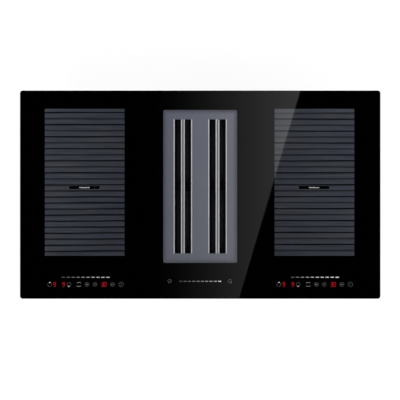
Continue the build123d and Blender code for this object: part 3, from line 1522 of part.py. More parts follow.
def chassis_screws():
    """All the small screws that hold the chassis together."""
    made = [side_screw(p) for p in frame_screw_points()]
    flange_low = pan_bottom - plenum_wall
    made += [upright_screw(x, y, flange_low, side_screw_length) for x, y in plenum_screw_points()]
    lug_low = scroll_bottom + lug_recess
    made += [upright_screw(x, y, lug_low, lug_screw_length) for x, y in scroll_lug_points()]
    neck = outlet_flange_y + outlet_flange_thickness
    across = Rot(90, 0, 0) * upright_screw(0, 0, 0, side_screw_length)
    made += [Pos(x, neck, z) * across for x, z in outlet_screw_points()]
    lid_low = plenum_bottom - box_size[2]
    made += [upright_screw(x, y, lid_low, lid_screw_length) for x, y in box_screw_points()]
    seat = motor_seat - scroll_wall
    made += [upright_screw(x, y, seat, scroll_wall + bush_height + motor_flange) for x, y in bush_points()]
    for side in SIDES.values():
        made += [hanging_screw(x, y, board_top, board_screw_length) for x, y in board_screw_points(side)]
    return made + [hanging_screw(x, y, board_top, board_screw_length) for x, y in filter_board_points()]


def main():
    os.makedirs(OUT, exist_ok=True)
    save("glass_top", glass_plate())
    save("worktop_seal", worktop_seal())
    save("carrier_frame", carrier_frame())
    save("base_pan", base_pan())
    save("intake_foam", intake_foam())
    save("intake_frame", intake_frame())
    save("plenum_box", plenum_box())
    save("drain_plug", drain_plug())
    save("grille_plate", grille_plate())
    save("grille_trims", *grille_trims())
    save("grille_pads", *grille_pads())
    save("filter_frame", filter_frame())
    save("filter_mesh", filter_mesh())
    save("filter_handle", filter_handle())
    save("drip_tray", drip_tray())
    save("scroll_cover", scroll_cover())
    save("scroll_housing", scroll_housing())
    save("impeller", impeller())
    save("motor_base", motor_base())
    save("motor_bearings", *motor_bearings())
    save("motor_stator", motor_stator())
    save("motor_bushes", *motor_bushes())
    save("motor_rotor", motor_rotor())
    save("motor_shaft", motor_shaft())
    save("outlet_adapter", outlet_adapter())
    save("backdraft_flap", backdraft_flap())
    save("flap_pin", flap_pin())
    save("control_box", control_box())
    save("control_box_lid", control_box_lid())
    save("control_board", *control_board())
    for name, side in SIDES.items():
        save("coil_carrier_" + name, coil_carrier(side))
        save("coils_" + name, *[coil(x, y) for x, y in coil_centres(side)])
        save("cooling_rotor_" + name, cooling_rotor(side))
    both = list(SIDES.values())
    save("ferrites", *[item for side in both for item in ferrites(side)])
    save("mica_sheets", *[mica_sheet(side) for side in both])
    save("cooling_fans", *[cooling_fan(side) for side in both])
    save("power_boards", *[power_board_sheet(side) for side in both])
    save("heat_sinks", *[heat_sink_block(side) for side in both])
    save("power_components", *[item for side in both for item in power_components(side)])
    save("temperature_sensors", *[temperature_sensor(*c) for side in both for c in coil_centres(side)])
    save("carrier_brackets", *[carrier_bracket(*p) for side in both for p in bracket_places(side)])
    save("carrier_springs", *[carrier_spring(*p) for side in both for p in bracket_places(side)])
    save("touch_boards", *[touch_sheet(*p) for p in touch_places().values()])
    save("light_guides", *[light_guide_block(*p) for p in touch_places().values()])
    save("touch_springs", *touch_springs())
    save("digit_modules", *digit_modules())
    save("filter_board", *filter_board())
    save("terminal_block", terminal_block())
    save("terminal_cover", terminal_cover())
    save("cable_gland", cable_gland())
    for name in clamp_points():
        save("clamp_" + name, clamp_arm(name))
    save("clamp_screws", *clamp_screws())
    save("chassis_screws", *chassis_screws())


main()
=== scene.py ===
import json
import math
import random

import bmesh
import bpy
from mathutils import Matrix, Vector


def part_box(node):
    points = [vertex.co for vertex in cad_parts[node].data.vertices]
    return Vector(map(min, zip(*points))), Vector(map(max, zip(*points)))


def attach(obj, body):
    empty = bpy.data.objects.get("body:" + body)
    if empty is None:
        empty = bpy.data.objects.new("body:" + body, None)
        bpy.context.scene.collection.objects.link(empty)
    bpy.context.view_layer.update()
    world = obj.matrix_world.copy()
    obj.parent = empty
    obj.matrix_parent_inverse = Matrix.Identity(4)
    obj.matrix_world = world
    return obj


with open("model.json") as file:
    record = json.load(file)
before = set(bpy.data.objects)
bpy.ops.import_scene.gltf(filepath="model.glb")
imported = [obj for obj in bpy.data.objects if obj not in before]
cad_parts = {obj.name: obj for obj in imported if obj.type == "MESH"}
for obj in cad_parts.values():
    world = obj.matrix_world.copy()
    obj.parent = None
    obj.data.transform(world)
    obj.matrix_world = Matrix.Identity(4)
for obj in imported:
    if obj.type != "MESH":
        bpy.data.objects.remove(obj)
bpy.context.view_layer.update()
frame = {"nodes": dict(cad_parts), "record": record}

MM = 0.001
random.seed(11)

# Everything printed on the glass is in millimetres, in the frame of the cooktop. So are these two
# heights: the glass's upper face, and the lowest face of the whole object.
GLASS_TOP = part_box("glass_top")[1].z / MM
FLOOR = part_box("scroll_housing")[0].z / MM

# Printed films: how far the undersides of their layers are above the glass, and their thickness.
FIRST_FILM, SECOND_FILM, THIRD_FILM = 0.02, 0.08, 0.15
FILM = 0.05
SMALL = 2  # steps round each corner of a small shape

# Cooking zones. For each side: from the rear edge to the first line, the lines' pitch, how far
# the last line climbs to the right, and which lines are dark grey instead of black.
ZONE_X = {"left": -288.4, "right": 285.2}
ZONE_Y = 30.7
ZONE_WIDTH, ZONE_DEPTH = 199.1, 367.0
ZONE_LINES = {
    "left": (9.2, 15.04, 1.3, range(1, 12, 2)),
    "right": (10.8, 14.88, 0.1, [*range(0, 8, 2), *range(9, 24, 2)]),
}
LINE_EDGES = (2.1, 1.05, -1.15, -3.4)  # rear shoulder, line and front shoulder lie between these
LINE_STEPS = 32
LINE_TILT = 0.25  # most that a line's own slope adds to its climb
LINE_WAVE, LINE_WAVE_ANGLE = 0.22, 4.4  # height of a line's wave, and how far it turns, in radians
LINE_SWELL, LINE_SWELL_ANGLE = 0.12, 3.1  # share by which a line's width swells, and its turn
LINE_PHASE = 3.0  # most that wave and swell start early or late, in radians

# Dark bar in each zone, and the generic mark on it, a row of coil turns.
BAR_X = {"left": -288.9, "right": 284.1}
BAR_Y = 17.7
BAR_WIDTH, BAR_DEPTH, BAR_CORNER = 75.8, 7.4, 0.8
MARK_LENGTH, MARK_STROKE = 24.6, 0.85
MARK_TURNS, MARK_STEPS = 7.5, 120
MARK_RADIUS_X, MARK_RADIUS_Y = 1.5, 0.95

# Panels: middles of the sliders and of the rows of keys.
PANEL_X = {"left": -286.2, "right": 286.2}
SLIDER_Y, KEY_Y = -206.3, -224.2
FAN_SLIDER_Y, FAN_KEY_Y = -216.4, -216.2
DASHES, DASH_CORNER = 10, 0.5
ZONE_DASH = (12.4, 8.3, 2.0)  # pitch, width and depth of the slider's dashes
FAN_DASH = (10.8, 7.6, 1.9)

# Keys of a zone panel, from the middle of their row. Rings: x and radius. Lines: width and path.
# The frame key has two level strokes, and a tail at each of their ends.
KEY_LINE = 0.62
KEY_RINGS = ((-89.6, 5.0), (-41.5, 4.7), (3.6, 4.75), (23.5, 4.75), (67.5, 5.05), (88.7, 5.8))
FRAME_X, FRAME_Y = -16.6, 4.8
FRAME_TAIL = ((3.3, FRAME_Y), (4.6, 3.5), (5.3, 2.2))
SIDES = [(out, up) for up in (1, -1) for out in (1, -1)]
KEY_LINES = [
    (KEY_LINE, [(88.7, -2.6), (88.7, 2.6)]),
    *((0.8, [(FRAME_X + out * x, up * y) for x, y in FRAME_TAIL]) for out, up in SIDES),
    *((0.6, [(x, -2.2), (x, 2.2)]) for x in (1.7, 5.5)),
    (0.9, [(21.4, 0.4), (23.0, -1.2), (25.6, 2.2)]),
]
# Bright strokes and dots of these keys: x, y, width, depth and corner.
KEY_STROKES = (
    (FRAME_X, FRAME_Y, 9.0, 0.85, 0.4),
    (FRAME_X, -FRAME_Y, 9.0, 0.85, 0.4),
    (3.4, 0.0, 3.9, 0.9, 0.4),
    (66.6, 0.1, 4.6, 0.95, 0.4),
)
KEY_DOTS = ((-89.3, 5.1, 3.5, 1.8, 0.85), (-41.7, -4.7, 3.3, 1.7, 0.8))

# Digits of a zone panel: x and number. The window behind each: width, depth and corner.
DIGITS = ((-77.4, "9"), (-55.1, "9"), (42.1, "3"), (49.1, "0"))
DIGIT_WINDOW = (7.1, 13.6, 1.0)
DIGIT_LIT = {"9": "abcdfg", "3": "abcdg", "0": "abcdef"}
DIGIT_OUT, DIGIT_UP = 2.45, 5.1  # from a digit's middle to its uprights and to its top segment
DIGIT_SLANT = 0.08  # lean to the right for each millimetre up
LEVEL_LENGTH, UPRIGHT_LENGTH, SEGMENT_HALF = 4.6, 4.7, 0.66

# Keys of the fan panel: the outline of a hood, and a ring with a tail. Heights are from their row.
# Arcs: x, y, radius, start and end in degrees, and line width. Lines and dots are as above.
HOOD_X, RING_X = -76.5, 74.3
HOOD_ARC = (HOOD_X, -0.5, 4.9, 0, 180, 0.75)
HOOD_LINE = (0.7, [(HOOD_X - 3.2, -0.6), (HOOD_X + 3.2, -0.6)])
HOOD_DOTS = [(HOOD_X + x, -3.5, 2.5, 1.0, 0.45) for x in (2.2, -2.2)]
RING_ARC = (RING_X, 0, 4.3, -35, 305, 0.85)
RING_TAIL = (1.2, [(RING_X + 1.2, -1.2), (RING_X + 4.6, -4.4)])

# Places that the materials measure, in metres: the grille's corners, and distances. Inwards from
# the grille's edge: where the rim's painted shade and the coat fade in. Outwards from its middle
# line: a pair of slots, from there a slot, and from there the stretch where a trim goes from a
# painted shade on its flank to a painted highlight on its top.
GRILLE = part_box("grille_plate")
RIM_SHADE = (-0.0025, 0.0135)
RIM_COAT = (0.003, 0.012)
PAIR_OFFSET, SLOT_OFFSET = 0.0432, 0.01255
TRIM_SHADE = (0.0077, 0.0093)
# From the cooktop's middle: where the zones grow lighter, outwards and to the rear.
ZONE_ACROSS = (0.19, 0.385)
ZONE_ALONG = (-0.15, 0.21)

# Values of a noise, and of a cell texture, between which it changes a colour or a roughness.
NOISE_SPAN = (0.3, 0.7)
CELL_SPAN = (0.1, 0.9)
# Scales of the mottling and of the uneven gloss, and how far the roughness goes down and up.
MOTTLE_SCALE, GLOSS_SCALE = 60, 24
ROUGH_DOWN, ROUGH_UP = 0.06, 0.08

# Stage, in metres. The camera looks straight down from CAMERA_HEIGHT above the glass.
FLOOR_SIZE, FLOOR_GAP = 30.0, 0.0005
FLOOR_GLOW, FLOOR_SHARE = 1.12, 0.79  # strength of the floor's own white, and its share of the look
CAMERA_X, CAMERA_Y, CAMERA_HEIGHT = -0.0005, -0.0134, 4.0
SENSOR, LENS_PER_METRE = 36.0, 36.05  # both in millimetres
WORLD_DIFFUSE = 0.4  # strength of the white world where it lights diffuse surfaces

# Card that the glass mirrors. A point of it is seen in the glass at 1 / REACH of its own x and y.
# The glow's places are those on the glass: it grows from GLOW_START to GLOW_END in x, and stops at
# a slanting edge through (EDGE_X, EDGE_Y) and at GLOW_REAR in y. Far out the card is paler.
CARD_HEIGHT, CARD_SIZE = 6.0, 24.0
REACH = 1 + CARD_HEIGHT / CAMERA_HEIGHT
GLOW_START, GLOW_END, GLOW_REAR = -0.125, 0.24, 0.64
GLOW_CURVE, GLOW_LEVEL = 1.7, 0.82
EDGE_X, EDGE_Y, EDGE_SLOPE = 0.1674, -0.013, 0.295
PALE_START, PALE_LEVEL = 0.9, 0.5

# Lamps: place and size in metres, and watts. All of them point at the origin.
LAMPS = {
    "key_light": ((-2.2, -2.4, 3.4), (2.4, 2.4), 76),
    "fill_light": ((2.8, -1.2, 2.6), (2.4, 2.4), 36),
    "rear_light": ((0.6, 3.2, 2.6), (3.0, 2.0), 44),
}


# ---------------------------------------------------------------- materials
class Paint:
    """A procedural material: object coordinates feed the textures that vary one shader."""

    def __init__(self, name, colour, rough, metal=0.0, coat=0.0, coat_rough=0.03):
        self.name = name
        self.material = bpy.data.materials.new(name)
        self.material.use_nodes = True
        self.tree = self.material.node_tree
        self.shader = self.tree.nodes["Principled BSDF"]
        self.colour = colour
        self.tune("Base Color", (*colour, 1))
        self.tune("Roughness", rough)
        self.tune("Metallic", metal)
        self.tune("Coat Weight", coat)
        self.tune("Coat Roughness", coat_rough)
        self.place = self.add("ShaderNodeTexCoord").outputs["Object"]
        self.height = None

    def set(self, node, socket, value):
        """Link a socket to a node's input, or give that input a plain value."""
        if isinstance(value, bpy.types.NodeSocket):
            self.tree.links.new(value, node.inputs[socket])
        else:
            node.inputs[socket].default_value = value

    def tune(self, socket, value):
        """Set one input of the shader."""
        self.set(self.shader, socket, value)
        return self

    def add(self, kind, inputs=None, **settings):
        """A new node, with its settings and inputs."""
        node = self.tree.nodes.new(kind)
        for name, value in settings.items():
            setattr(node, name, value)
        for name, value in (inputs or {}).items():
            self.set(node, name, value)
        return node

    def surface(self, shader):
        """Show another shader node in place of the Principled one."""
        self.set(self.tree.nodes["Material Output"], "Surface", shader.outputs[0])
        return self.material

    def stretched(self, stretch):
        """Object coordinates, scaled along each axis."""
        inputs = {"Vector": self.place, "Scale": stretch}
        return self.add("ShaderNodeMapping", inputs).outputs["Vector"]

    def noise(self, scale, detail=3, stretch=(1, 1, 1), distortion=0.0):
        """Cloudy noise. Its scale is per metre, as the scales of the other textures are."""
        inputs = {"Vector": self.stretched(stretch), "Scale": scale}
        inputs.update({"Detail": detail, "Distortion": distortion})
        return self.add("ShaderNodeTexNoise", inputs).outputs["Fac"]

    def cells(self, scale, stretch=(1, 1, 1), output="Color"):
        """Cells that differ at random, or with the output Distance, that rise from their middles."""
        inputs = {"Vector": self.stretched(stretch), "Scale": scale}
        return self.add("ShaderNodeTexVoronoi", inputs).outputs[output]

    def waves(self, scale, axis):
        """Even bands across one axis."""
        inputs = {"Vector": self.place, "Scale": scale}
        return self.add("ShaderNodeTexWave", inputs, bands_direction=axis).outputs["Fac"]

    def ramp(self, value, stops):
        """Colour by a value, from stops of position and colour."""
        node = self.add("ShaderNodeValToRGB", {"Fac": value})
        while len(node.color_ramp.elements) < len(stops):
            node.color_ramp.elements.new(1.0)
        for element, (position, colour) in zip(node.color_ramp.elements, stops):
            element.position = position
            element.color = (*colour, 1)
        return node.outputs["Color"]

    def math(self, operation, first, second=0.0):
        return self.add("ShaderNodeMath", {0: first, 1: second}, operation=operation).outputs[0]

    def split(self):
        """The three object coordinates, in metres."""
        parts = self.add("ShaderNodeSeparateXYZ", {"Vector": self.place})
        return [parts.outputs[axis] for axis in "XYZ"]

    def between(self, value, start, end, low=0.0, high=1.0, curve="LINEAR"):
        """A number that goes from low to high while the value goes from start to end."""
        inputs = {"Value": value, "From Min": start, "From Max": end, "To Min": low, "To Max": high}
        return self.add("ShaderNodeMapRange", inputs, interpolation_type=curve).outputs["Result"]

    def shade(self, factor):
        """Multiply the base colour, which is linked by now, by a factor that varies."""
        base = self.shader.inputs["Base Color"].links[0].from_socket
        inputs = {0: 1.0, 6: base, 7: factor}
        mix = self.add("ShaderNodeMix", inputs, data_type="RGBA", blend_type="MULTIPLY")
        return self.tune("Base Color", mix.outputs[2])

    def spread(self, value, amount, span=NOISE_SPAN):
        """Colour that runs from darker to lighter than the base colour."""
        dark = [c * (1 - amount) for c in self.colour]
        light = [min(c * (1 + amount), 1) for c in self.colour]
        return self.tune("Base Color", self.ramp(value, list(zip(span, (dark, light)))))

    def roughness(self, value, low, high):
        """Roughness that runs from low to high over a noise."""
        return self.tune("Roughness", self.between(value, *NOISE_SPAN, low, high))

    def bump(self, value, strength, distance):
        """Relief of a height given in millimetres."""
        inputs = {"Height": value, "Strength": strength, "Distance": distance * MM}
        node = self.add("ShaderNodeBump", inputs)
        if self.height:
            self.set(node, "Normal", self.height)
        self.height = node.outputs["Normal"]
        return self.tune("Normal", self.height)

    def glow(self, colour, strength):
        return self.tune("Emission Color", (*colour, 1)).tune("Emission Strength", strength)


def grained(name, colour, rough, grain=1500, strength=0.25, depth=0.05, amount=0.08, metal=0.0):
    """Moulded or cast surface: soft mottling, uneven gloss and a fine grain."""
    paint = Paint(name, colour, rough, metal)
    paint.spread(paint.noise(MOTTLE_SCALE, 4), amount)
    paint.roughness(paint.noise(GLOSS_SCALE), rough - ROUGH_DOWN, rough + ROUGH_UP)
    return paint.bump(paint.noise(grain, 2), strength, depth)


def brushed(name, colour, rough, stretch, amount, metal=1.0, scale=60):
    """Metal with fine streaks along one axis."""
    paint = Paint(name, colour, rough, metal)
    streaks = paint.noise(scale, 4, stretch)
    paint.spread(streaks, amount)
    paint.roughness(streaks, rough - ROUGH_DOWN, rough + ROUGH_UP)
    return paint.bump(streaks, strength=0.15, distance=0.02)


def print_paint(name, colour, scale=300, stretch=(1, 1, 1), amount=0.1):
    """Ceramic print fired on the glass: its own colour under the glass's gloss."""
    paint = Paint(name, colour, 0.5, coat=1.0, coat_rough=0.015)
    paint.tune("Specular IOR Level", 0.0)
    return paint.spread(paint.noise(scale, 4, stretch), amount)


def black_glass():
    """Glass-ceramic with a faintly uneven gloss."""
    paint = Paint("black_glass", (0.0002, 0.0002, 0.0003), 0.03)
    return paint.roughness(paint.noise(9, distortion=0.6), low=0.006, high=0.018)


def foam():
    """Foam with small cells."""
    paint = Paint("foam", (0.035, 0.035, 0.037), 0.95)
    paint.spread(paint.cells(900), 0.35)
    return paint.bump(paint.cells(700, output="Distance"), strength=0.7, distance=0.3)


def galvanised():
    """Zinc-coated sheet with a faint spangle."""
    paint = Paint("galvanised", (0.50, 0.51, 0.53), 0.38, metal=0.85)
    spangle = paint.cells(95)
    paint.spread(spangle, 0.08, CELL_SPAN).roughness(spangle, low=0.34, high=0.44)
    return paint.bump(paint.noise(500), strength=0.12, distance=0.03)


def grille_grey():
    """Lacquered grey plate: painted shade down its soft rim, painted sheen lighter to the right and rear.
    """
    paint = Paint("grille_grey", (0.138, 0.145, 0.178), 0.42, metal=0.15, coat_rough=0.15)
    paint.tune("Coat IOR", 1.9)
    paint.spread(paint.noise(2600, 2), 0.16).roughness(paint.noise(30), low=0.38, high=0.48)
    paint.bump(paint.noise(1900, 2), strength=0.12, distance=0.03)
    low, high = GRILLE
    middle = (low.y + high.y) / 2
    x, y, _ = paint.split()
    from_middle = paint.math("ABSOLUTE", paint.math("SUBTRACT", y, middle))
    to_side = paint.math("SUBTRACT", high.x, paint.math("ABSOLUTE", x))
    to_end = paint.math("SUBTRACT", high.y - middle, from_middle)
    rim = paint.math("MINIMUM", to_side, to_end)
    # Painted shade: the colour darkens towards the rim, where the plate rounds off.
    paint.shade(paint.between(rim, *RIM_SHADE, low=0.42, high=1.0, curve="SMOOTHSTEP"))
    across = paint.between(x, low.x, high.x)
    along = paint.between(y, low.y, high.y)
    # Painted sheen: the colour grows lighter to the right and to the rear, and its tint shifts with it.
    paint.shade(paint.ramp(across, [(0.0, (0.89, 0.89, 0.97)), (1.0, (1.14, 1.14, 1.14))]))
    paint.shade(paint.ramp(along, [(0.0, (0.93, 0.93, 0.92)), (1.0, (1.01, 1.01, 1.055))]))
    return paint.tune("Coat Weight", paint.between(rim, *RIM_COAT))


def trim_chrome():
    """Bright strip by a slot: painted shade on the slot-side flank, painted highlight on top and to the
    rear.
    """
    stretch = (30, 0.6, 30)
    paint = brushed("trim_chrome", (0.72, 0.725, 0.745), 0.42, stretch, amount=0.06, metal=0.5)
    low, high = GRILLE
    x, y, _ = paint.split()
    from_slot = paint.math("ABSOLUTE", x)
    for offset in (PAIR_OFFSET, SLOT_OFFSET):
        from_slot = paint.math("ABSOLUTE", paint.math("SUBTRACT", from_slot, offset))
    # Painted shade on the flank towards the slot, turning to a painted highlight on the strip's top.
    paint.shade(paint.between(from_slot, *TRIM_SHADE, low=0.32, high=1.2, curve="SMOOTHSTEP"))
    # Painted light: the strip grows lighter towards the rear.
    return paint.shade(paint.between(y, low.y, high.y, low=0.86, high=1.08))


def filter_mesh():
    """Woven mesh, painted dark to stand for the shade deep down under the grille's slots."""
    # Painted shade: the mesh's colour is near black, for the shade under the slots.
    paint = Paint("filter_painted_shade", (0.036, 0.036, 0.038), 0.5, metal=0.3)
    weave = paint.cells(420, stretch=(1, 0.55, 1), output="Distance")
    return paint.spread(weave, 0.55, span=(0.15, 0.75)).bump(weave, strength=0.8, distance=0.6)


def lamination():
    """Stack of thin steel sheets."""
    paint = Paint("lamination", (0.20, 0.20, 0.21), 0.4, metal=0.8)
    sheets = paint.waves(320, axis="Z")
    return paint.spread(sheets, 0.4, CELL_SPAN).bump(sheets, strength=0.5, distance=0.2)


def copper():
    """Winding of stranded wire."""
    paint = Paint("copper", (0.66, 0.30, 0.15), 0.36, metal=0.85)
    strands = paint.noise(420, 2, distortion=1.5)
    paint.spread(strands, 0.3).roughness(strands, low=0.28, high=0.46)
    return paint.bump(strands, strength=0.6, distance=0.3)


def mica():
    """Flaky mineral sheet."""
    paint = Paint("mica", (0.46, 0.41, 0.32), 0.55)
    paint.spread(paint.cells(140, stretch=(1, 0.5, 1)), 0.22, CELL_SPAN)
    return paint.bump(paint.noise(260), strength=0.2, distance=0.1)


def circuit_board():
    """Green board with paler tracks."""
    paint = Paint("circuit_board", (0.018, 0.085, 0.035), 0.4)
    inputs = {"Vector": paint.place, "Scale": 130.0, "Mortar Size": 0.07}
    inputs.update({"Brick Width": 1.3, "Row Height": 0.4, "Mortar": (0.06, 0.19, 0.07, 1)})
    inputs.update({"Color1": (0.016, 0.08, 0.03, 1), "Color2": (0.012, 0.06, 0.024, 1)})
    tracks = paint.add("ShaderNodeTexBrick", inputs).outputs
    return paint.tune("Base Color", tracks["Color"]).bump(tracks["Fac"], strength=0.3, distance=0.05)


def zone_paint(name, colour, stretch, amount):
    """Print of a cooking zone: cloudy, and lighter outwards and to the rear."""
    paint = print_paint(name, colour, 30, stretch, amount)
    paint.tune("Coat IOR", 1.8)
    x, y, _ = paint.split()
    paint.shade(paint.between(paint.math("ABSOLUTE", x), *ZONE_ACROSS, low=0.86, high=1.12))
    paint.shade(paint.between(y, *ZONE_ALONG, low=0.91, high=1.05))
    cloud = paint.noise(11, stretch=(0.6, 2.2, 1))
    return paint.shade(paint.ramp(cloud, [(0.35, (0.90, 0.92, 0.97)), (0.65, (1.10, 1.07, 1.03))]))


def slider_paint(name, stops):
    """Row of lights behind the glass, from dim at the left to bright at the right.

    The stops are places along the row, from 0 to 1, and levels.
    """
    paint = print_paint(name, (0.02, 0.02, 0.022))
    along = paint.add("ShaderNodeTexCoord").outputs["Generated"]
    along = paint.add("ShaderNodeSeparateXYZ", {"Vector": along}).outputs["X"]
    tone = paint.ramp(along, [(position, (level, level, 1.05 * level)) for position, level in stops])
    return paint.tune("Base Color", tone).tune("Emission Color", tone).tune("Emission Strength", 0.35)


def make_paints():
    """All materials, by name. The filter's mesh goes by the name of its slot."""
    made = [
        black_glass(),
        foam(),
        galvanised(),
        grille_grey(),
        trim_chrome(),
        lamination(),
        copper(),
        mica(),
        circuit_board(),
        grained("black_plastic", (0.018, 0.018, 0.019), 0.48),
        # Painted shade: the filter's handle is darker than plain black plastic, for the shade in the
        # slots.
        grained("handle_black", (0.004, 0.004, 0.0045), 0.6).tune("Specular IOR Level", 0.1),
        grained("silicone", (0.05, 0.05, 0.052), 0.62, grain=900),
        grained("tray_plastic", (0.032, 0.033, 0.036), 0.36, grain=1100, strength=0.12),
        grained("wheel_plastic", (0.055, 0.057, 0.062), 0.5, grain=700, strength=0.3),
        grained("motor_casting", (0.34, 0.35, 0.36), 0.5, grain=420, strength=0.35, depth=0.2, metal=0.7),
        grained("ferrite", (0.045, 0.043, 0.042), 0.7, grain=500, strength=0.4, depth=0.15),
        grained("component", (0.03, 0.03, 0.034), 0.42, grain=300),
        grained("white_plastic", (0.74, 0.74, 0.71), 0.45, grain=900, strength=0.12, amount=0.04),
        grained("red_display", (0.10, 0.006, 0.006), 0.2, grain=400, strength=0.02, amount=0.2),
        grained("terminal_grey", (0.30, 0.31, 0.31), 0.5, grain=800),
        brushed("aluminium", (0.66, 0.67, 0.69), 0.34, stretch=(0.7, 18, 18), amount=0.08),
        brushed("steel", (0.55, 0.56, 0.58), 0.3, stretch=(12, 12, 0.8), amount=0.1),
        brushed("zinc", (0.60, 0.60, 0.57), 0.33, stretch=(9, 9, 2), amount=0.12, scale=140),
        zone_paint("zone_print", (0.0446, 0.0494, 0.0618), stretch=(0.35, 9, 1), amount=0.2),
        zone_paint("zone_shoulder", (0.0283, 0.0314, 0.0396), stretch=(0.35, 9, 1), amount=0.22),
        zone_paint("zone_shade", (0.0147, 0.0165, 0.0212), stretch=(0.5, 6, 1), amount=0.25),
        print_paint("zone_badge", (0.0008, 0.0008, 0.001)),
        print_paint("white_print", (0.78, 0.79, 0.82), scale=700, amount=0.05),
        print_paint("key_print", (0.131, 0.133, 0.141), scale=600),
        print_paint("key_bright", (0.325, 0.33, 0.33), scale=600),
        slider_paint("slider_left", [(0.0, 0.06), (0.35, 0.148), (0.75, 0.37), (1.0, 0.43)]),
        slider_paint("slider_right", [(0.0, 0.06), (0.25, 0.2), (0.5, 0.4), (1.0, 0.64)]),
        slider_paint("slider_fan", [(0.0, 0.06), (0.45, 0.165), (0.88, 0.34), (1.0, 0.72)]),
        print_paint("digit_light", (0.15, 0.0015, 0.0025), scale=500).glow((1.0, 0.035, 0.05), 0.27),
        print_paint("display_window", (0.006, 0.0004, 0.0006)).glow((1.0, 0.0, 0.01), 0.004),
    ]
    paints = {paint.name: paint.material for paint in made}
    paints["filter_aluminium"] = filter_mesh().material
    return paints


PAINTS = make_paints()
SLOTS = {part["node"]: part["material_slot"] for part in frame["record"]["subparts"]}
SLOTS["filter_handle"] = "handle_black"
for node, obj in frame["nodes"].items():
    obj.data.materials.clear()
    obj.data.materials.append(PAINTS[SLOTS[node]])


# ---------------------------------------------------------------- print on the glass
def rounded(x, y, width, depth, corner, steps=5):
    """Outline of a rectangle with rounded corners."""
    points = []
    for i, (sx, sy) in enumerate([(1, 1), (-1, 1), (-1, -1), (1, -1)]):
        cx, cy = x + sx * (width / 2 - corner), y + sy * (depth / 2 - corner)
        for k in range(steps + 1):
            turn = math.pi / 2 * (i + k / steps)
            points.append((cx + corner * math.cos(turn), cy + corner * math.sin(turn)))
    return points


def arc(x, y, radius, start=0.0, end=360.0, steps=28):
    """Points along an arc, in degrees."""
    turns = [math.radians(start + (end - start) * i / steps) for i in range(steps + 1)]
    return [(x + radius * math.cos(t), y + radius * math.sin(t)) for t in turns]


def stroke(path, width):
    """A line of even width along a path, as one quad for each of its steps."""
    quads = []
    for (x0, y0), (x1, y1) in zip(path, path[1:]):
        length = math.hypot(x1 - x0, y1 - y0)
        nx, ny = (y0 - y1) / length * width / 2, (x1 - x0) / length * width / 2
        quads.append([(x0 + nx, y0 + ny), (x0 - nx, y0 - ny), (x1 - nx, y1 - ny), (x1 + nx, y1 + ny)])
    return quads


def shifted(points, x, y):
    """The same points, moved by x and y."""
    return [(x + px, y + py) for px, py in points]


def printed(name, outlines, paint, low=FIRST_FILM):
    """A thin printed film on the glass, one flat prism for each outline."""
    mesh = bpy.data.meshes.new(name)
    bm = bmesh.new()
    for outline in outlines:
        rings = []
        for z in (GLASS_TOP + low, GLASS_TOP + low + FILM):
            rings.append([bm.verts.new((x * MM, y * MM, z * MM)) for x, y in outline])
        bottom, top = rings
        bm.faces.new(top)
        bm.faces.new(bottom[::-1])
        for i in range(len(outline)):
            j = (i + 1) % len(outline)
            bm.faces.new((bottom[i], bottom[j], top[j], top[i]))
    bmesh.ops.recalc_face_normals(bm, faces=bm.faces)
    bm.to_mesh(mesh)
    bm.free()
    obj = bpy.data.objects.new(name, mesh)
    bpy.context.scene.collection.objects.link(obj)
    mesh.materials.append(PAINTS[paint])
    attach(obj, "chassis")


def zone_lines(x, first, pitch, climb):
    """Lines between a zone's bands, from rear to front, each a list of (x, middle, swell)."""
    count = int((ZONE_DEPTH - first) / pitch) + 1
    lines = []
    for k in range(count):
        y = ZONE_Y + ZONE_DEPTH / 2 - first - k * pitch
        phase, slope, bulge = (random.uniform(-1, 1) for _ in range(3))
        line = []
        for i in range(LINE_STEPS + 1):
            t = i / LINE_STEPS
            drift = (climb * k / count + LINE_TILT * slope) * (t - 0.5)
            wave = LINE_WAVE * math.sin(LINE_WAVE_ANGLE * t + LINE_PHASE * phase)
            swell = 1 + LINE_SWELL * math.sin(LINE_SWELL_ANGLE * t + LINE_PHASE * bulge)
            line.append((x + (t - 0.5) * ZONE_WIDTH, y + drift + wave, swell))
        lines.append(line)
    return lines


def zone(side):
    """Striped print of a cooking zone: its bands, and between them lines with two shoulders."""
    first, pitch, climb, grey = ZONE_LINES[side]
    lines = zone_lines(ZONE_X[side], first, pitch, climb)
    rear = [(x, ZONE_Y + ZONE_DEPTH / 2) for x, *_ in lines[0]]
    front = [(x, ZONE_Y - ZONE_DEPTH / 2) for x, *_ in lines[0]]
    bands, shoulders, shades = [], [], []
    for k, line in enumerate(lines):
        edges = [[(x, y + offset * swell) for x, y, swell in line] for offset in LINE_EDGES]
        bands.append(rear + edges[0][::-1])
        shoulders += [edges[0] + edges[1][::-1], edges[2] + edges[3][::-1]]
        if k in grey:
            shades.append(edges[1] + edges[2][::-1])
        rear = edges[3]
    bands.append(rear + front[::-1])
    printed("zone_bands_" + side, bands, "zone_print")
    printed("zone_shoulders_" + side, shoulders, "zone_shoulder")
    printed("zone_shades_" + side, shades, "zone_shade")


def zone_bar(side):
    """Dark bar in a zone, with its mark."""
    x = BAR_X[side]
    bar = rounded(x, BAR_Y, BAR_WIDTH, BAR_DEPTH, BAR_CORNER)
    printed("zone_bar_" + side, [bar], "zone_badge", SECOND_FILM)
    coil = []
    for i in range(MARK_STEPS + 1):
        t = i / MARK_STEPS
        turn = 2 * math.pi * MARK_TURNS * t
        middle = x + (t - 0.5) * MARK_LENGTH
        coil.append((middle + MARK_RADIUS_X * math.cos(turn), BAR_Y + MARK_RADIUS_Y * math.sin(turn)))
    printed("zone_mark_" + side, stroke(coil, MARK_STROKE), "white_print", THIRD_FILM)


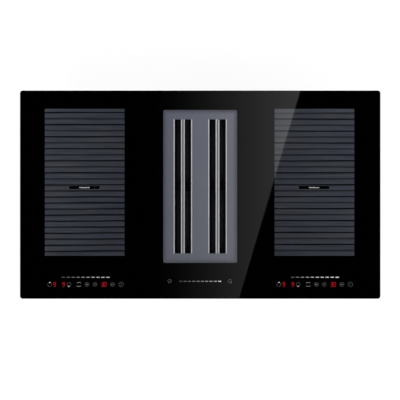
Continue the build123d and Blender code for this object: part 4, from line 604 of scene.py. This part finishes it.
def segment(x, y, length, upright):
    """One lit segment of a digit, pointed at both ends."""
    half, tip = length / 2, SEGMENT_HALF
    points = [(-half, 0), (tip - half, tip), (half - tip, tip)]
    points += [(half, 0), (half - tip, -tip), (tip - half, -tip)]
    if upright:
        points = [(-b, a) for a, b in points]
    return [(x + a + DIGIT_SLANT * (y + b), y + b) for a, b in points]


def digit(x, y, number):
    """Seven-segment digit, about 7 mm wide with its lean and 11.5 mm tall."""
    out, up = DIGIT_OUT, DIGIT_UP
    places = {
        "a": (0, up, LEVEL_LENGTH, False),
        "b": (out, up / 2, UPRIGHT_LENGTH, True),
        "c": (out, -up / 2, UPRIGHT_LENGTH, True),
        "d": (0, -up, LEVEL_LENGTH, False),
        "e": (-out, -up / 2, UPRIGHT_LENGTH, True),
        "f": (-out, up / 2, UPRIGHT_LENGTH, True),
        "g": (0, 0, LEVEL_LENGTH, False),
    }
    return [shifted(segment(*places[name]), x, y) for name in DIGIT_LIT[number]]


def dashes(x, y, pitch, width, depth):
    """Row of lit dashes, with its middle at x."""
    middles = [x + (i - (DASHES - 1) / 2) * pitch for i in range(DASHES)]
    return [rounded(middle, y, width, depth, DASH_CORNER, SMALL) for middle in middles]


def zone_panel(side):
    """Slider, keys and digits of one cooking zone."""
    x, y = PANEL_X[side], KEY_Y
    printed("slider_" + side, dashes(x, SLIDER_Y, *ZONE_DASH), "slider_" + side)
    keys = []
    for dx, radius in KEY_RINGS:
        keys += stroke(arc(x + dx, y, radius), KEY_LINE)
    for width, path in KEY_LINES:
        keys += stroke(shifted(path, x, y), width)
    printed("keys_" + side, keys, "key_print")
    strokes = [rounded(x + dx, y + dy, *size, SMALL) for dx, dy, *size in KEY_STROKES]
    printed("key_strokes_" + side, strokes, "key_bright", SECOND_FILM)
    dots = [rounded(x + dx, y + dy, *size) for dx, dy, *size in KEY_DOTS]
    printed("key_dots_" + side, dots, "white_print", SECOND_FILM)
    lit = []
    for dx, number in DIGITS:
        lit += digit(x + dx, y, number)
    printed("digits_" + side, lit, "digit_light", SECOND_FILM)
    windows = [rounded(x + dx, y, *DIGIT_WINDOW, SMALL) for dx, _ in DIGITS]
    printed("digit_windows_" + side, windows, "display_window")


def fan_panel():
    """Slider of the extractor, and its two keys: the outline of a hood, and a ring with a tail."""
    printed("slider_fan", dashes(0, FAN_SLIDER_Y, *FAN_DASH), "slider_fan")
    keys = [rounded(x, FAN_KEY_Y + y, *size, SMALL) for x, y, *size in HOOD_DOTS]
    for x, y, radius, start, end, width in (HOOD_ARC, RING_ARC):
        keys += stroke(arc(x, FAN_KEY_Y + y, radius, start, end), width)
    for width, path in (HOOD_LINE, RING_TAIL):
        keys += stroke(shifted(path, 0, FAN_KEY_Y), width)
    printed("keys_fan", keys, "key_print")


for side in ("left", "right"):
    zone(side)
    zone_bar(side)
for side in ("left", "right"):
    zone_panel(side)
fan_panel()


# ---------------------------------------------------------------- floor, light and camera
def stage_plane(name, size, z, material):
    """Level square about the origin, which isn't part of the object."""
    mesh = bpy.data.meshes.new(name)
    half = size / 2
    corners = [(-half, -half, z), (half, -half, z), (half, half, z), (-half, half, z)]
    mesh.from_pydata(corners, [], [(0, 1, 2, 3)])
    mesh.materials.append(material)
    obj = bpy.data.objects.new(name, mesh)
    bpy.context.scene.collection.objects.link(obj)
    return obj


def floor_material():
    """White floor that keeps soft shadows."""
    paint = Paint("floor_white", (0.86, 0.86, 0.86), 0.9)
    rays = paint.add("ShaderNodeLightPath").outputs
    seen = paint.math("MAXIMUM", rays["Is Camera Ray"], rays["Is Glossy Ray"])
    seen = paint.math("MAXIMUM", seen, rays["Is Transmission Ray"])
    share = paint.math("MULTIPLY", seen, FLOOR_SHARE)
    white = paint.add("ShaderNodeEmission", {"Strength": FLOOR_GLOW})
    inputs = {0: share, 1: paint.shader.outputs[0], 2: white.outputs[0]}
    return paint.surface(paint.add("ShaderNodeMixShader", inputs))


def card_material():
    """Dark card above the camera: a soft light that ends at a slanting edge, and a paler rim far out."""
    paint = Paint("reflector", (0, 0, 0), 1.0)
    x, y, _ = paint.split()
    glow = paint.between(x, GLOW_START * REACH, GLOW_END * REACH)
    glow = paint.math("MULTIPLY", paint.math("POWER", glow, GLOW_CURVE), GLOW_LEVEL)
    edge = paint.math("MULTIPLY", y, EDGE_SLOPE)
    edge = paint.math("ADD", edge, (EDGE_X - EDGE_SLOPE * EDGE_Y) * REACH)
    before_edge = paint.math("LESS_THAN", x, edge)
    lit = paint.math("MULTIPLY", before_edge, paint.math("LESS_THAN", y, GLOW_REAR * REACH))
    flat = paint.stretched((1, 1, 0))
    out = paint.add("ShaderNodeVectorMath", {0: flat}, operation="LENGTH").outputs["Value"]
    far_out = (PALE_START * REACH, CARD_SIZE / 2)
    pale = paint.between(out, *far_out, high=PALE_LEVEL, curve="SMOOTHSTEP")
    level = paint.math("ADD", paint.math("MULTIPLY", glow, lit), pale)
    return paint.surface(paint.add("ShaderNodeEmission", {"Strength": level}))


def lamp(name, place, size, power):
    """Soft rectangular lamp that points at the origin."""
    light = bpy.data.lights.new(name, "AREA")
    light.shape = "RECTANGLE"
    light.size, light.size_y = size
    light.energy = power
    obj = bpy.data.objects.new(name, light)
    obj.location = place
    obj.rotation_euler = (-Vector(place)).to_track_quat("-Z", "Y").to_euler()
    bpy.context.scene.collection.objects.link(obj)
    return obj


def white_world():
    """White all round, dimmed where it lights diffuse surfaces."""
    world = bpy.data.worlds.new("studio")
    world.use_nodes = True
    nodes, links = world.node_tree.nodes, world.node_tree.links
    background = nodes["Background"]
    background.inputs["Color"].default_value = (1, 1, 1, 1)
    rays = nodes.new("ShaderNodeLightPath")
    level = nodes.new("ShaderNodeMapRange")
    level.inputs["To Min"].default_value = 1.0
    level.inputs["To Max"].default_value = WORLD_DIFFUSE
    links.new(rays.outputs["Is Diffuse Ray"], level.inputs["Value"])
    links.new(level.outputs["Result"], background.inputs["Strength"])
    return world


stage_plane("floor", FLOOR_SIZE, FLOOR * MM - FLOOR_GAP, floor_material())
card = stage_plane("reflector_card", CARD_SIZE, CARD_HEIGHT, card_material())
card.visible_camera = False
card.visible_diffuse = False
card.visible_shadow = False
card.visible_transmission = False
card.visible_volume_scatter = False

lamps = {name: lamp(name, *facts) for name, facts in LAMPS.items()}
lamps["rear_light"].visible_glossy = False  # the glass would mirror it
bpy.context.scene.world = white_world()

camera = bpy.data.cameras.new("camera")
camera.sensor_width = SENSOR
camera.lens = LENS_PER_METRE * CAMERA_HEIGHT
view = bpy.data.objects.new("camera", camera)
view.location = (CAMERA_X, CAMERA_Y, GLASS_TOP * MM + CAMERA_HEIGHT)
bpy.context.scene.collection.objects.link(view)
bpy.context.scene.camera = view
bpy.context.scene.view_settings.view_transform = "Standard"
